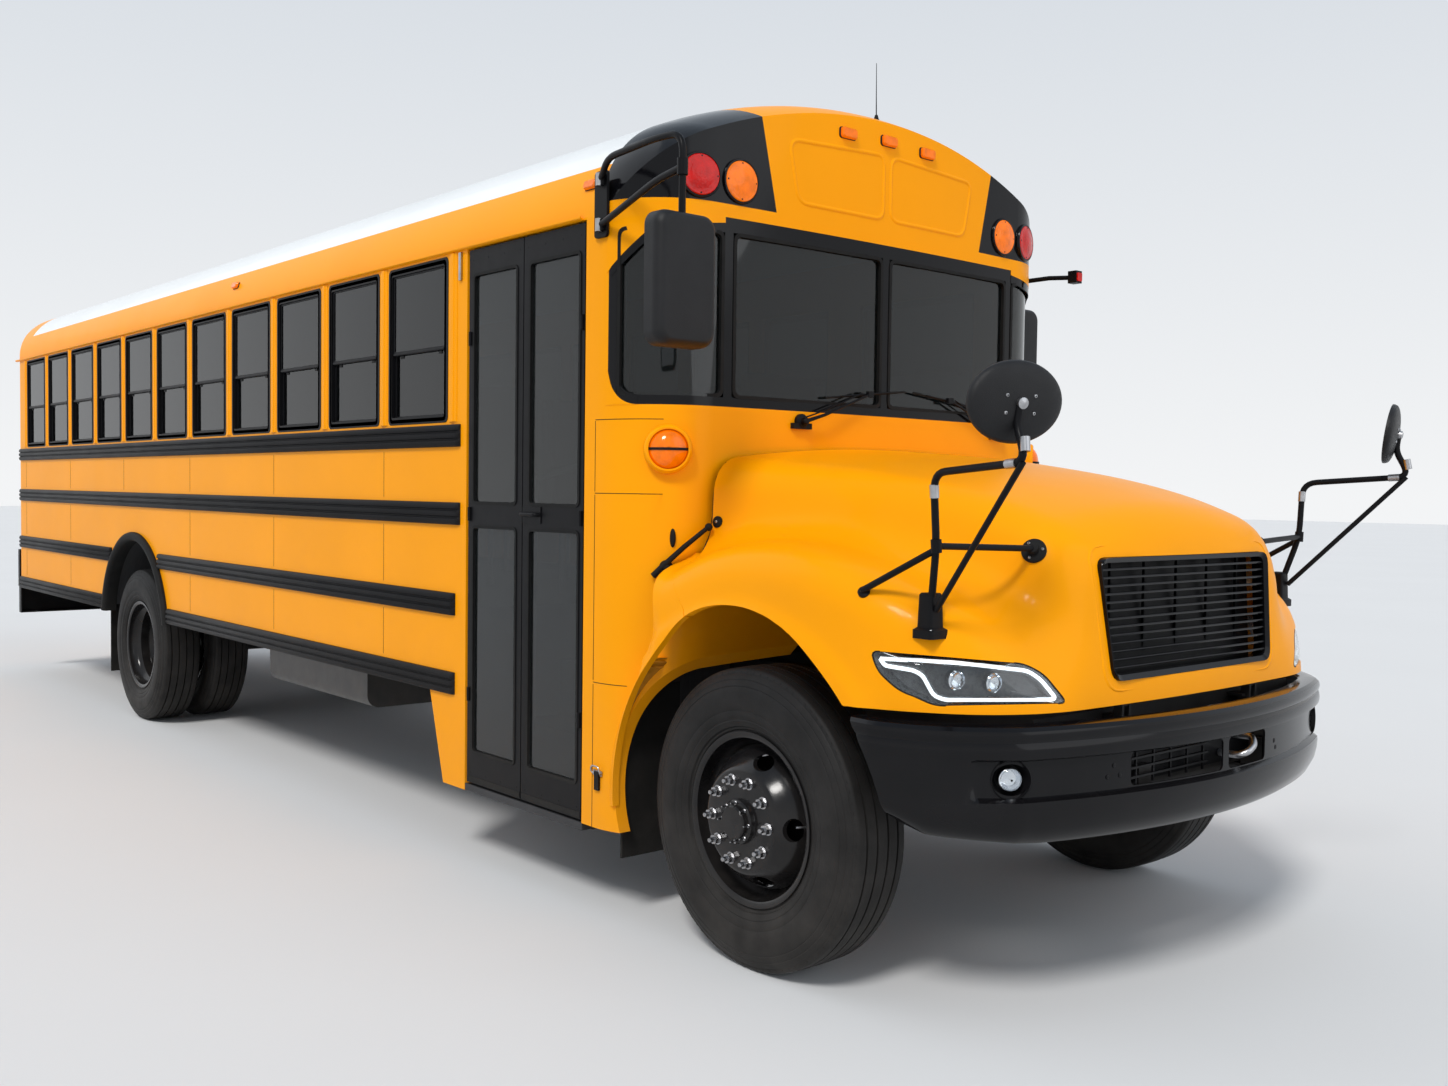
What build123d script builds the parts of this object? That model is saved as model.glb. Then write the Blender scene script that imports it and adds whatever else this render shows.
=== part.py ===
from build123d import *
from math import atan2, cos, degrees, hypot, pi, radians, sin, sqrt
import os

# School bus with a forward tilting hood. Millimetres; +X is the front, +Y the left side, +Z up.

# Driving dimensions
wheelbase = 6350
front_reach = 1205
bumper_reach = 1170
rear_overhang = 3265
body_width = 2438
drip_z = 2690
skirt_z = 728
wall = 45
tyre_radius = 525
tyre_width = 280
front_track = 2046
rear_track = 2134
window_count = 11
window_pitch = 668
window_width = 546
running_gap = 0.05
seat_gap = 0.3
panel_gap = 6

# Places worked out from them
overall_length = front_reach + wheelbase + rear_overhang
front_axle_x = overall_length / 2 - front_reach
rear_axle_x = front_axle_x - wheelbase
bumper_x = front_axle_x + bumper_reach
rear_x = rear_axle_x - rear_overhang
axle_z = tyre_radius
half_width = body_width / 2
sides = {"right": -1, "left": 1}

# Body shell
face_x = front_axle_x - 450
roof_end_x = front_axle_x - 795
pillar_x = front_axle_x - 884
door_x = front_axle_x - 1788
body_rear_x = rear_x + 70
rear_cap_x = body_rear_x + 320
cove_radius = 420
roof_radius = 2400
cove_top_z = 2896
window_foot_z = 1950
window_head_z = 2672
windshield_foot_z = 1975
belt_z = 1640
floor_z = 1120
floor_depth = 60
front_corner_radius = 320
rear_corner_radius = 110
brow_depth = 85

# Wheel arches
front_arch_radius = 690
rear_arch_radius = 690
rear_arch_lift = 85

# Entrance
door_foot_z = 320
door_leaf_depth = 38
entry_skirt_x = door_x - 193
entry_slope_x = door_x - 318
entry_slope_z = 678


def span(x0, x1, y0, y1, z0, z1, mode=Mode.ADD):
    """A plain block between two corners."""
    with Locations(((x0 + x1) / 2, (y0 + y1) / 2, (z0 + z1) / 2)):
        Box(abs(x1 - x0), abs(y1 - y0), abs(z1 - z0), mode=mode)


def rod(start, end, radius, mode=Mode.ADD):
    """A round bar between two points."""
    a, b = Vector(*start), Vector(*end)
    with Locations(Plane(origin=a, z_dir=b - a)):
        Cylinder(radius, (b - a).length, align=(Align.CENTER, Align.CENTER, Align.MIN), mode=mode)


def section(x, inset, foot_z):
    """The body's cross section at x, drawn in by inset."""
    drop = sqrt((roof_radius - cove_radius) ** 2 - (half_width - cove_radius) ** 2)
    cove_turn = degrees(atan2(drop, half_width - cove_radius))
    half = half_width - inset
    with BuildSketch(Plane.YZ.offset(x), mode=Mode.PRIVATE) as outline:
        with BuildLine():
            side = Line((half, foot_z), (half, drip_z))
            cove = JernArc(side @ 1, (0, 1), cove_radius - inset, cove_turn)
            top = JernArc(cove @ 1, cove % 1, roof_radius - inset, 180 - 2 * cove_turn)
            JernArc(top @ 1, top % 1, cove_radius - inset, cove_turn)
            Polyline((-half, drip_z), (-half, foot_z), (half, foot_z))
        make_face()
    return outline.sketch


def plan(z, inset):
    """The body's outline seen from above, drawn in by inset."""
    half = half_width - inset
    bow_x = face_x - 45 - inset
    with BuildSketch(Plane.XY.offset(z), mode=Mode.PRIVATE) as outline:
        with BuildLine():
            ThreePointArc((bow_x, -half), (face_x - inset, 0), (bow_x, half))
            Polyline((bow_x, half), (body_rear_x + inset, half), (body_rear_x + inset, -half), (bow_x, -half))
        make_face()
        fillet(outline.vertices().sort_by(Axis.X)[-2:], front_corner_radius - inset)
        fillet(outline.vertices().sort_by(Axis.X)[:2], rear_corner_radius - inset)
    return outline.sketch


def roof_body(inset, foot_z):
    """The body above foot_z, behind the front cap, as one solid drawn in by inset."""
    with BuildPart(mode=Mode.PRIVATE) as solid:
        extrude(section(body_rear_x - 10, inset, foot_z), amount=roof_end_x - body_rear_x + 10)
        extrude(plan(foot_z - 50, inset - 1), amount=2000, mode=Mode.INTERSECT)
    return solid.part


def cap_body(inset, foot_z):
    """The front cap as one solid drawn in by inset, its brow bending down to the face."""
    brow = [(roof_end_x, 0), (roof_end_x + 180, brow_depth * 0.25), (face_x - inset + 5, brow_depth)]
    with BuildPart(mode=Mode.PRIVATE) as solid:
        loft([section(x, inset + pull, foot_z) for x, pull in brow])
        extrude(plan(foot_z - 50, inset - 1), amount=2000, mode=Mode.INTERSECT)
    return solid.part


def ring(inset, depth, foot_z, head_z):
    """The upright wall of the body between two heights, depth thick."""
    with BuildPart(mode=Mode.PRIVATE) as solid:
        extrude(plan(foot_z, inset), amount=head_z - foot_z)
        extrude(plan(foot_z, inset + depth), amount=head_z - foot_z, mode=Mode.SUBTRACT)
    return solid.part


def profile(points, y0, y1, mode=Mode.ADD):
    """An outline in X and Z, carried from y0 to y1."""
    with BuildSketch(Plane.XZ.offset(-y0), mode=Mode.PRIVATE) as outline:
        with BuildLine():
            Polyline(*points, close=True)
        make_face()
    extrude(outline.sketch, amount=y0 - y1, mode=mode)


def cross(points, x0, x1, mode=Mode.ADD):
    """An outline in Y and Z, carried from x0 to x1."""
    with BuildSketch(Plane.YZ.offset(x0), mode=Mode.PRIVATE) as outline:
        with BuildLine():
            Polyline(*points, close=True)
        make_face()
    extrude(outline.sketch, amount=x1 - x0, mode=mode)


def barrel(x, y0, y1, z, radius, mode=Mode.ADD):
    """A round block along Y."""
    rod((x, y0, z), (x, y1, z), radius, mode=mode)


def save(part, label):
    """Write one sub-part."""
    part.part.label = label
    export_step(part.part, f"parts/{label}.step")


os.makedirs("parts", exist_ok=True)

# Shell of the body: roof and front cap above the drip line, and the upright wall below it
body_foot_z = 350
roof_shell = roof_body(0, drip_z - 5) - roof_body(wall, drip_z - 10)
cap_shell = cap_body(0, drip_z - 5) - cap_body(wall, drip_z - 10)
wall_shell = ring(0, wall, body_foot_z, drip_z)

# Places of the entrance leaves
step_thickness = 30
leaf_gap = 13
pin_inset = 22
leaf_mid_y = -half_width + 4 + door_leaf_depth / 2
door_mid_x = (door_x + pillar_x) / 2
leaf_foot_z = door_foot_z + step_thickness + 10
leaf_head_z = drip_z - 8
leaf_border = 60
leaf_bar_foot = 1500
leaf_bar_head = 1590
leaf_glass_foot = leaf_foot_z + 190
pin_radius = 8
pin_reach = 40
rear_leaf = (door_x + leaf_gap, door_mid_x - 3)
front_leaf = (door_mid_x + 3, pillar_x - leaf_gap)
rear_leaf_pin = rear_leaf[0] + pin_inset
front_leaf_pin = front_leaf[1] - pin_inset

# Roof, in two colours
with BuildPart() as roof:
    add(roof_shell)
    span(rear_cap_x, roof_end_x, -half_width, half_width, cove_top_z, 4000, mode=Mode.INTERSECT)
save(roof, "roof")

with BuildPart() as roof_coves:
    add(roof_shell)
    span(rear_cap_x, roof_end_x, -half_width, half_width, drip_z, cove_top_z, mode=Mode.INTERSECT)
    for pin_x in (rear_leaf_pin, front_leaf_pin):
        rod((pin_x, leaf_mid_y, drip_z - 5), (pin_x, leaf_mid_y, leaf_head_z + pin_reach + 5), pin_radius + running_gap,
            mode=Mode.SUBTRACT)
save(roof_coves, "roof_coves")

# Front cap: the painted brow in the middle, dark lamp panels beside it
cap_strip = 50
split_foot_y = 618
split_head_y = 740
cap_split = [
    (-half_width - 20, drip_z - 40),
    (half_width + 20, drip_z - 40),
    (half_width + 20, drip_z + cap_strip),
    (split_foot_y, drip_z + cap_strip),
    (split_head_y, 3280),
    (-split_head_y, 3280),
    (-split_foot_y, drip_z + cap_strip),
    (-half_width - 20, drip_z + cap_strip),
]
with BuildPart() as front_cap:
    add(cap_shell)
    span(roof_end_x - 10, face_x + 10, -half_width - 10, half_width + 10, drip_z - 20, drip_z, mode=Mode.SUBTRACT)
    with BuildPart(mode=Mode.INTERSECT):
        cross(cap_split, roof_end_x, face_x)
save(front_cap, "front_cap")

with BuildPart() as cap_lamp_panels:
    add(cap_shell)
    span(roof_end_x - 10, face_x + 10, -half_width - 10, half_width + 10, drip_z - 20, drip_z, mode=Mode.SUBTRACT)
    cross(cap_split, roof_end_x - 10, face_x + 10, mode=Mode.SUBTRACT)
save(cap_lamp_panels, "cap_lamp_panels")

# Side walls with their window openings and wheel arches
rear_post_x = body_rear_x + 120
window_front_x = door_x - 178
window_xs = [window_front_x - window_pitch * number for number in range(window_count)]
driver_window_x = pillar_x - 50
driver_window_width = 780
rear_arch_z = axle_z + rear_arch_lift
arch_rubber = 42
side_outline = [
    (rear_post_x, skirt_z),
    (entry_slope_x, skirt_z),
    (entry_skirt_x, door_foot_z),
    (door_x, door_foot_z),
    (door_x, drip_z),
    (rear_post_x, drip_z),
]
left_outline = [
    (rear_post_x, skirt_z),
    (pillar_x - 130, skirt_z),
    (pillar_x, body_foot_z),
    (pillar_x, drip_z),
    (rear_post_x, drip_z),
]
stop_hinge_x = door_x + 33
stop_hinge_y = half_width + 34
stop_arm_z = 1700
hinge_pin = 6
with BuildPart() as side_walls:
    profile(side_outline, -half_width, -half_width + wall)
    profile(left_outline, half_width - wall, half_width)
    for x in window_xs:
        span(x - window_width, x, -1300, 1300, window_foot_z, window_head_z, mode=Mode.SUBTRACT)
    span(driver_window_x - driver_window_width, driver_window_x, 1000, 1300, window_foot_z,
         window_head_z, mode=Mode.SUBTRACT)
    barrel(rear_axle_x, -1300, 1300, rear_arch_z, rear_arch_radius - arch_rubber, mode=Mode.SUBTRACT)
    for z in (stop_arm_z - 80, stop_arm_z + 80):
        span(stop_hinge_x - 14, stop_hinge_x + 14, half_width, stop_hinge_y + 12, z - 12, z + 12)
    rod((stop_hinge_x, stop_hinge_y, stop_arm_z - 80), (stop_hinge_x, stop_hinge_y, stop_arm_z + 80), hinge_pin)
save(side_walls, "side_walls")

# Rear wall with its corner posts and the rounded top of the body
rear_door_half = 330
rear_door_foot_z = 1130
rear_door_head_z = 2560
rear_window_in_y = 470
rear_window_out_y = 1010
rear_hinge_x = body_rear_x - 16
rear_hinge_y = -rear_door_half - 10
with BuildPart() as rear_wall:
    add(wall_shell)
    add(roof_shell)
    span(body_rear_x, rear_cap_x, -half_width, half_width, skirt_z, 4000, mode=Mode.INTERSECT)
    span(rear_post_x, rear_cap_x, -half_width, half_width, skirt_z - 10, drip_z, mode=Mode.SUBTRACT)
    cross([(-half_width + wall, drip_z - 60), (half_width - wall, drip_z - 60),
           (half_width - wall, drip_z + 30), (980, 3010), (700, 3120), (0, 3200),
           (-700, 3120), (-980, 3010), (-half_width + wall, drip_z + 30)], body_rear_x, body_rear_x + wall)
    span(body_rear_x - 10, body_rear_x + wall + 10, -rear_door_half, rear_door_half,
         rear_door_foot_z, rear_door_head_z, mode=Mode.SUBTRACT)
    for side in sides.values():
        span(body_rear_x - 10, body_rear_x + wall + 10, side * rear_window_in_y, side * rear_window_out_y,
             window_foot_z, window_head_z - 40, mode=Mode.SUBTRACT)
    for z in (1500, 2400):
        span(rear_hinge_x - 10, body_rear_x, rear_hinge_y - 12, rear_hinge_y + 12, z - 20, z + 20)
    rod((rear_hinge_x, rear_hinge_y, 1500), (rear_hinge_x, rear_hinge_y, 2400), hinge_pin)
save(rear_wall, "rear_wall")

# Cowl: firewall, front corners and the posts beside the entrance
windshield_corner_x = pillar_x + 142
doghouse_half = 470
with BuildPart() as cowl:
    add(wall_shell)
    span(pillar_x, face_x, -half_width, half_width, body_foot_z, drip_z, mode=Mode.INTERSECT)
    span(windshield_corner_x, face_x + 10, -1300, 1300, windshield_foot_z, drip_z + 10, mode=Mode.SUBTRACT)
    barrel(front_axle_x, -1300, 1300, axle_z, front_arch_radius, mode=Mode.SUBTRACT)
    span(face_x - 200, face_x + 10, -doghouse_half, doghouse_half, body_foot_z - 10, floor_z - floor_depth,
         mode=Mode.SUBTRACT)
save(cowl, "cowl")

# Windshield surround and the frames of all fixed windows
frame_border = 26
frame_depth = 30
frame_inset = 4
glass_depth = 5
mid_bar_z = window_foot_z + 330
post_half = 20
side_post_y = 830
windshield_foot = windshield_foot_z + 35
windshield_head = drip_z - 55


def window_frame(x0, x1, y0, y1, bar):
    """A ring with a bar across, standing in a side window."""
    span(x0, x1, y0, y1, window_foot_z, window_head_z)
    span(x0 + frame_border, x1 - frame_border, y0 - 5, y1 + 5, window_foot_z + frame_border,
         bar - frame_border / 2, mode=Mode.SUBTRACT)
    span(x0 + frame_border, x1 - frame_border, y0 - 5, y1 + 5, bar + frame_border / 2,
         window_head_z - frame_border, mode=Mode.SUBTRACT)


with BuildPart() as window_frames:
    for side in sides.values():
        y0, y1 = sorted((side * (half_width - frame_inset), side * (half_width - frame_inset - frame_depth)))
        for x in window_xs:
            window_frame(x - window_width, x, y0, y1, mid_bar_z)
        if side == sides["left"]:
            window_frame(driver_window_x - driver_window_width, driver_window_x, y0, y1, mid_bar_z)
    for side in sides.values():
        y0, y1 = sorted((side * rear_window_in_y, side * rear_window_out_y))
        x0 = body_rear_x + frame_inset
        span(x0, x0 + frame_depth, y0, y1, window_foot_z, window_head_z - 40)
        span(x0 - 5, x0 + frame_depth + 5, y0 + frame_border, y1 - frame_border,
             window_foot_z + frame_border, window_head_z - 40 - frame_border, mode=Mode.SUBTRACT)
save(window_frames, "window_frames")

with BuildPart() as windshield_frame:
    add(wall_shell)
    span(windshield_corner_x, face_x, -half_width, half_width, windshield_foot_z, drip_z, mode=Mode.INTERSECT)
    for side in sides.values():
        span(face_x - 200, face_x + 10, side * post_half, side * side_post_y, windshield_foot,
             windshield_head, mode=Mode.SUBTRACT)
        span(windshield_corner_x + 40, face_x + 10, side * (side_post_y + 2 * post_half), side * 1300,
             windshield_foot, windshield_head, mode=Mode.SUBTRACT)
save(windshield_frame, "windshield_frame")

with BuildPart() as fixed_glass:
    add(ring(frame_inset + 10, glass_depth, windshield_foot, windshield_head))
    with BuildPart(mode=Mode.INTERSECT):
        for side in sides.values():
            span(face_x - 200, face_x, side * post_half, side * side_post_y, windshield_foot, windshield_head)
            span(windshield_corner_x + 40, face_x, side * (side_post_y + 2 * post_half), side * half_width,
                 windshield_foot, windshield_head)
    for side in sides.values():
        y0 = side * (half_width - frame_inset - frame_depth / 2)
        y1 = y0 - side * glass_depth
        panes = [(x - window_width, x) for x in window_xs]
        if side == sides["left"]:
            panes.append((driver_window_x - driver_window_width, driver_window_x))
        for x0, x1 in panes:
            span(x0 + frame_border, x1 - frame_border, y0, y1, window_foot_z + frame_border,
                 mid_bar_z - frame_border / 2)
            span(x0 + frame_border, x1 - frame_border, y0, y1, mid_bar_z + frame_border / 2,
                 window_head_z - frame_border)
        x0 = body_rear_x + frame_inset + frame_depth / 2
        span(x0, x0 + glass_depth, side * (rear_window_in_y + frame_border),
             side * (rear_window_out_y - frame_border), window_foot_z + frame_border,
             window_head_z - 40 - frame_border)
save(fixed_glass, "fixed_glass")

# Floor with entrance steps
step_count = 3
step_depth = 230
step_in_y = half_width - wall
wheel_box_y = 562
wheel_box_foot_z = 760
wheel_box_wall = 16
entry_in_y = step_in_y - step_count * step_depth
step_rise = (floor_z - door_foot_z - step_thickness) / step_count
with BuildPart() as floor:
    span(body_rear_x + wall, face_x - 75, -step_in_y, step_in_y, floor_z - floor_depth, floor_z)
    extrude(plan(floor_z - 200, wall), amount=400, mode=Mode.INTERSECT)
    span(door_x, pillar_x, -step_in_y - 10, -entry_in_y, floor_z - floor_depth - 10, floor_z + 10, mode=Mode.SUBTRACT)
    for number in range(step_count + 1):
        y1 = -step_in_y + number * step_depth
        top = door_foot_z + step_thickness + number * step_rise
        if number < step_count:
            y0 = y1 if number else -half_width + 2
            span(door_x, pillar_x, y0, y1 + step_depth, top - step_thickness, top)
        if number > 0:
            span(door_x - 12, pillar_x + 12, y1, y1 + 12, top - step_rise - step_thickness, top)
    for x in (door_x - 12, pillar_x):
        span(x, x + 12, -step_in_y, -entry_in_y, door_foot_z, floor_z)
    for side in sides.values():
        y0, y1 = sorted((side * wheel_box_y, side * (step_in_y + 10)))
        barrel(rear_axle_x, y0, y1, rear_arch_z, rear_arch_radius, mode=Mode.SUBTRACT)
    for pin_x in (rear_leaf_pin, front_leaf_pin):
        rod((pin_x, leaf_mid_y, door_foot_z - 5), (pin_x, leaf_mid_y, door_foot_z + 60), pin_radius + running_gap,
            mode=Mode.SUBTRACT)
save(floor, "floor")

# Boxes over the rear wheels, open below and towards the side walls
with BuildPart() as wheel_boxes:
    for side in sides.values():
        y0, y1 = sorted((side * wheel_box_y, side * step_in_y))
        barrel(rear_axle_x, y0, y1, rear_arch_z, rear_arch_radius)
    span(rear_axle_x - 900, rear_axle_x + 900, -1300, 1300, -200, wheel_box_foot_z, mode=Mode.SUBTRACT)
    for side in sides.values():
        y0, y1 = sorted((side * (wheel_box_y + wheel_box_wall), side * (step_in_y + 10)))
        barrel(rear_axle_x, y0, y1, rear_arch_z, rear_arch_radius - arch_rubber, mode=Mode.SUBTRACT)
save(wheel_boxes, "wheel_boxes")

# Entrance: two leaves that swing outward on pins near their outer edges
def door_leaf(x0, x1, pin_x):
    """Frame of one leaf, with its upper and lower light and its two pins."""
    y0 = leaf_mid_y - door_leaf_depth / 2
    y1 = leaf_mid_y + door_leaf_depth / 2
    span(x0, x1, y0, y1, leaf_foot_z, leaf_head_z)
    for foot, head in ((leaf_glass_foot, leaf_bar_foot), (leaf_bar_head, leaf_head_z - leaf_border)):
        span(x0 + leaf_border, x1 - leaf_border, y0 - 5, y1 + 5, foot, head, mode=Mode.SUBTRACT)
    rod((pin_x, leaf_mid_y, leaf_foot_z - pin_reach / 2), (pin_x, leaf_mid_y, leaf_foot_z), pin_radius)
    rod((pin_x, leaf_mid_y, leaf_head_z), (pin_x, leaf_mid_y, leaf_head_z + pin_reach), pin_radius)


def leaf_glass(x0, x1):
    """The two panes of one leaf."""
    y0 = leaf_mid_y - glass_depth / 2
    for foot, head in ((leaf_glass_foot, leaf_bar_foot), (leaf_bar_head, leaf_head_z - leaf_border)):
        span(x0 + leaf_border, x1 - leaf_border, y0, y0 + glass_depth, foot, head)


with BuildPart() as door_leaf_rear:
    door_leaf(*rear_leaf, rear_leaf_pin)
save(door_leaf_rear, "door_leaf_rear")
with BuildPart() as door_glass_rear:
    leaf_glass(*rear_leaf)
save(door_glass_rear, "door_glass_rear")
with BuildPart() as door_leaf_front:
    door_leaf(*front_leaf, front_leaf_pin)
save(door_leaf_front, "door_leaf_front")
with BuildPart() as door_glass_front:
    leaf_glass(*front_leaf)
save(door_glass_front, "door_glass_front")

# Emergency door in the rear wall
rear_leaf_edge = rear_door_half - 8
rear_barrel = 12
with BuildPart() as emergency_door:
    span(body_rear_x, body_rear_x + 40, -rear_leaf_edge, rear_leaf_edge, rear_door_foot_z + 8, rear_door_head_z - 8)
    for foot, head in ((rear_door_foot_z + 150, 1700), (window_foot_z - 60, rear_door_head_z - 80)):
        span(body_rear_x - 5, body_rear_x + 45, -rear_leaf_edge + 70, rear_leaf_edge - 70, foot, head,
             mode=Mode.SUBTRACT)
    for z in (1600, 2300):
        span(rear_hinge_x, body_rear_x, rear_hinge_y, -rear_leaf_edge + 40, z - 40, z + 40)
        rod((rear_hinge_x, rear_hinge_y, z - 40), (rear_hinge_x, rear_hinge_y, z + 40), rear_barrel)
    rod((rear_hinge_x, rear_hinge_y, 1400), (rear_hinge_x, rear_hinge_y, 2500), hinge_pin + running_gap,
        mode=Mode.SUBTRACT)
save(emergency_door, "emergency_door")
with BuildPart() as emergency_glass:
    for foot, head in ((rear_door_foot_z + 150, 1700), (window_foot_z - 60, rear_door_head_z - 80)):
        span(body_rear_x + 18, body_rear_x + 23, -rear_leaf_edge + 70, rear_leaf_edge - 70, foot, head)
save(emergency_glass, "emergency_glass")

# Stop arm: an octagon that swings out from the left side
octagon_radius = 245
stop_face_y = half_width + 28
with BuildPart() as stop_arm:
    with BuildSketch(Plane.XZ.offset(-stop_face_y)):
        with Locations((stop_hinge_x - octagon_radius - 16, stop_arm_z)):
            RegularPolygon(octagon_radius, 8, major_radius=True, rotation=22.5)
    extrude(amount=-12)
    span(stop_hinge_x - 60, stop_hinge_x, stop_face_y, stop_face_y + 12, stop_arm_z - 50, stop_arm_z + 50)
    rod((stop_hinge_x, stop_hinge_y, stop_arm_z - 50), (stop_hinge_x, stop_hinge_y, stop_arm_z + 50), rear_barrel)
    rod((stop_hinge_x, stop_hinge_y, stop_arm_z - 60), (stop_hinge_x, stop_hinge_y, stop_arm_z + 60),
        hinge_pin + running_gap, mode=Mode.SUBTRACT)
save(stop_arm, "stop_arm")

# Rub rails along both sides, ribbed three times
rail_heads = [1934, 1588, 1184, 830]
rail_height = 100
rail_depth = 22
rail_front_x = door_x - 50
low_rail_front_x = door_x - 90
with BuildPart() as rub_rails:
    for side in sides.values():
        for number, head in enumerate(rail_heads):
            low = number > 1
            x1 = low_rail_front_x if low else rail_front_x
            y0 = side * half_width
            y1 = y0 + side * rail_depth
            span(rear_post_x - 10 if low else rear_post_x, x1, y0, y1, head - rail_height, head)
            for rib in (1, 2):
                groove_z = head - rail_height * rib / 3
                span(rear_post_x - 20, x1 + 10, y1 - side * 10, y1 + side, groove_z - 5, groove_z + 5,
                     mode=Mode.SUBTRACT)
    barrel(rear_axle_x, -1300, 1300, rear_arch_z, rear_arch_radius + 4, mode=Mode.SUBTRACT)
    span(stop_hinge_x - 2 * octagon_radius - 40, stop_hinge_x + 30, half_width, half_width + 40,
         stop_arm_z - octagon_radius - 10, stop_arm_z + octagon_radius + 10, mode=Mode.SUBTRACT)
save(rub_rails, "rub_rails")

# Rubber over the rear wheel arches, and the flaps behind the wheels
flap_depth = 8
with BuildPart() as arch_rubbers:
    for side in sides.values():
        y0, y1 = sorted((side * (half_width - wall), side * (half_width + 26)))
        barrel(rear_axle_x, y0, y1, rear_arch_z, rear_arch_radius)
        barrel(rear_axle_x, y0 - 5, y1 + 5, rear_arch_z, rear_arch_radius - arch_rubber, mode=Mode.SUBTRACT)
    span(rear_axle_x - 900, rear_axle_x + 900, -1300, 1300, -200, skirt_z - 6, mode=Mode.SUBTRACT)
    span(rear_axle_x - 900, rear_axle_x + 900, -half_width, half_width, -200, 4000, mode=Mode.SUBTRACT)
save(arch_rubbers, "arch_rubbers")

rear_flap_x = rear_axle_x - rear_arch_radius - 10
front_flap_x = front_axle_x - front_arch_radius - 10
with BuildPart() as mud_flaps:
    for side in sides.values():
        y0, y1 = sorted((side * 590, side * half_width))
        span(rear_flap_x - flap_depth, rear_flap_x, y0, y1, 260, floor_z - floor_depth)
        y0, y1 = sorted((side * 880, side * half_width))
        span(front_flap_x - flap_depth, front_flap_x, y0, y1, 240, 900)
    extrude(plan(0, wall + seat_gap), amount=2000, mode=Mode.INTERSECT)
save(mud_flaps, "mud_flaps")

# Hood with its fenders, one shell that tilts forward
hood_wall = 20
hood_rear_x = face_x + panel_gap
hood_foot_z = 990
nose_foot_x = front_axle_x + 1032
nose_head_x = front_axle_x + 974
nose_head_z = 1480
fender_y = 1190
hood_sections = [
    # x, half width at the shoulder, shoulder height, height at the middle, half width at the foot
    (hood_rear_x, 905, 1762, 1832, 960),
    (front_axle_x + 145, 770, 1705, 1785, 830),
    (front_axle_x + 645, 700, 1608, 1700, 780),
    (front_axle_x + 1040, 660, 1440, 1560, 740),
]


def bonnet_section(x, half, shoulder_z, crest_z, foot_half, inset):
    """The cross section of the engine cover at one place."""
    shoulder = (half - inset, shoulder_z - inset)
    crest = (0, crest_z - inset)
    foot = (foot_half - inset, hood_foot_z - (10 if inset else 0))
    with BuildSketch(Plane.YZ.offset(x), mode=Mode.PRIVATE) as outline:
        with BuildLine():
            ThreePointArc(shoulder, crest, (-shoulder[0], shoulder[1]))
            Polyline((-shoulder[0], shoulder[1]), (-foot[0], foot[1]), foot, shoulder)
        make_face()
    return outline.sketch


def nose_cut(inset):
    """Side outline of the engine cover, rolling over into the grille's plane."""
    with BuildSketch(Plane.XZ.offset(-1400), mode=Mode.PRIVATE) as outline:
        with BuildLine():
            foot = (nose_foot_x - inset, hood_foot_z - 20)
            head = (nose_head_x - inset, nose_head_z - inset)
            top = (nose_head_x - 180, 1640)
            Line(foot, head)
            ThreePointArc(head, (nose_head_x - 62 - inset, 1573 - inset), top)
            Polyline(top, (nose_head_x - 180, 2000), (hood_rear_x - 50, 2000), (hood_rear_x - 50, hood_foot_z - 20), foot)
        make_face()
    return outline.sketch


def fender_side(inset):
    """Side outline of a fender."""
    foot = hood_foot_z - (10 if inset else 0)
    with BuildSketch(Plane.XZ.offset(-1400), mode=Mode.PRIVATE) as outline:
        with BuildLine():
            crest = ThreePointArc((hood_rear_x, 1350 - inset), (front_axle_x + 65, 1478 - inset),
                                  (front_axle_x + 600, 1360 - inset))
            front = ThreePointArc(crest @ 1, (front_axle_x + 860, 1225 - inset), (front_axle_x + 990, 1100 - inset))
            Polyline(front @ 1, (nose_foot_x - inset, 1000), (nose_foot_x - inset, foot), (hood_rear_x, foot),
                     (hood_rear_x, 1350 - inset))
        make_face()
    return outline.sketch


def fender_plan(inset):
    """Outline of both fenders seen from above."""
    y = fender_y - inset
    with BuildSketch(Plane.XY.offset(hood_foot_z - 20), mode=Mode.PRIVATE) as outline:
        with BuildLine():
            right = ThreePointArc((front_axle_x + 560, -y), (front_axle_x + 860 - inset, -1020 + inset),
                                  (nose_foot_x - inset, -700))
            Line(right @ 1, (nose_foot_x - inset, 700))
            ThreePointArc((nose_foot_x - inset, 700), (front_axle_x + 860 - inset, 1020 - inset),
                          (front_axle_x + 560, y))
            Polyline((front_axle_x + 560, y), (hood_rear_x - 30, y), (hood_rear_x - 30, -y), right @ 0)
        make_face()
    return outline.sketch


def hood_body(inset):
    """The hood as a solid drawn in by inset."""
    with BuildPart(mode=Mode.PRIVATE) as bonnet:
        loft([bonnet_section(*values, inset) for values in hood_sections])
        extrude(nose_cut(inset), amount=2800, mode=Mode.INTERSECT)
    with BuildPart(mode=Mode.PRIVATE) as fenders:
        extrude(fender_side(inset), amount=2800)
        extrude(fender_plan(inset), amount=1400, mode=Mode.INTERSECT)
    return bonnet.part + fenders.part


grille_head_half = 535
grille_foot_half = 497
grille_head_z = 1460
grille_foot_z = 1066
grille_outline = [
    (-grille_head_half, grille_head_z),
    (grille_head_half, grille_head_z),
    (grille_foot_half, grille_foot_z),
    (-grille_foot_half, grille_foot_z),
]
# X, Y and Z of a headlamp's corners, in turn round its face
lamp_corners = [(608, 1181, 1169), (931, 823, 1127), (1006, 739, 1012), (718, 1059, 1024), (626, 1162, 1095)]
pivot_x = front_axle_x + 992
pivot_z = 985
pivot_y = 405
pivot_radius = 10
lug_radius = 17


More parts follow.
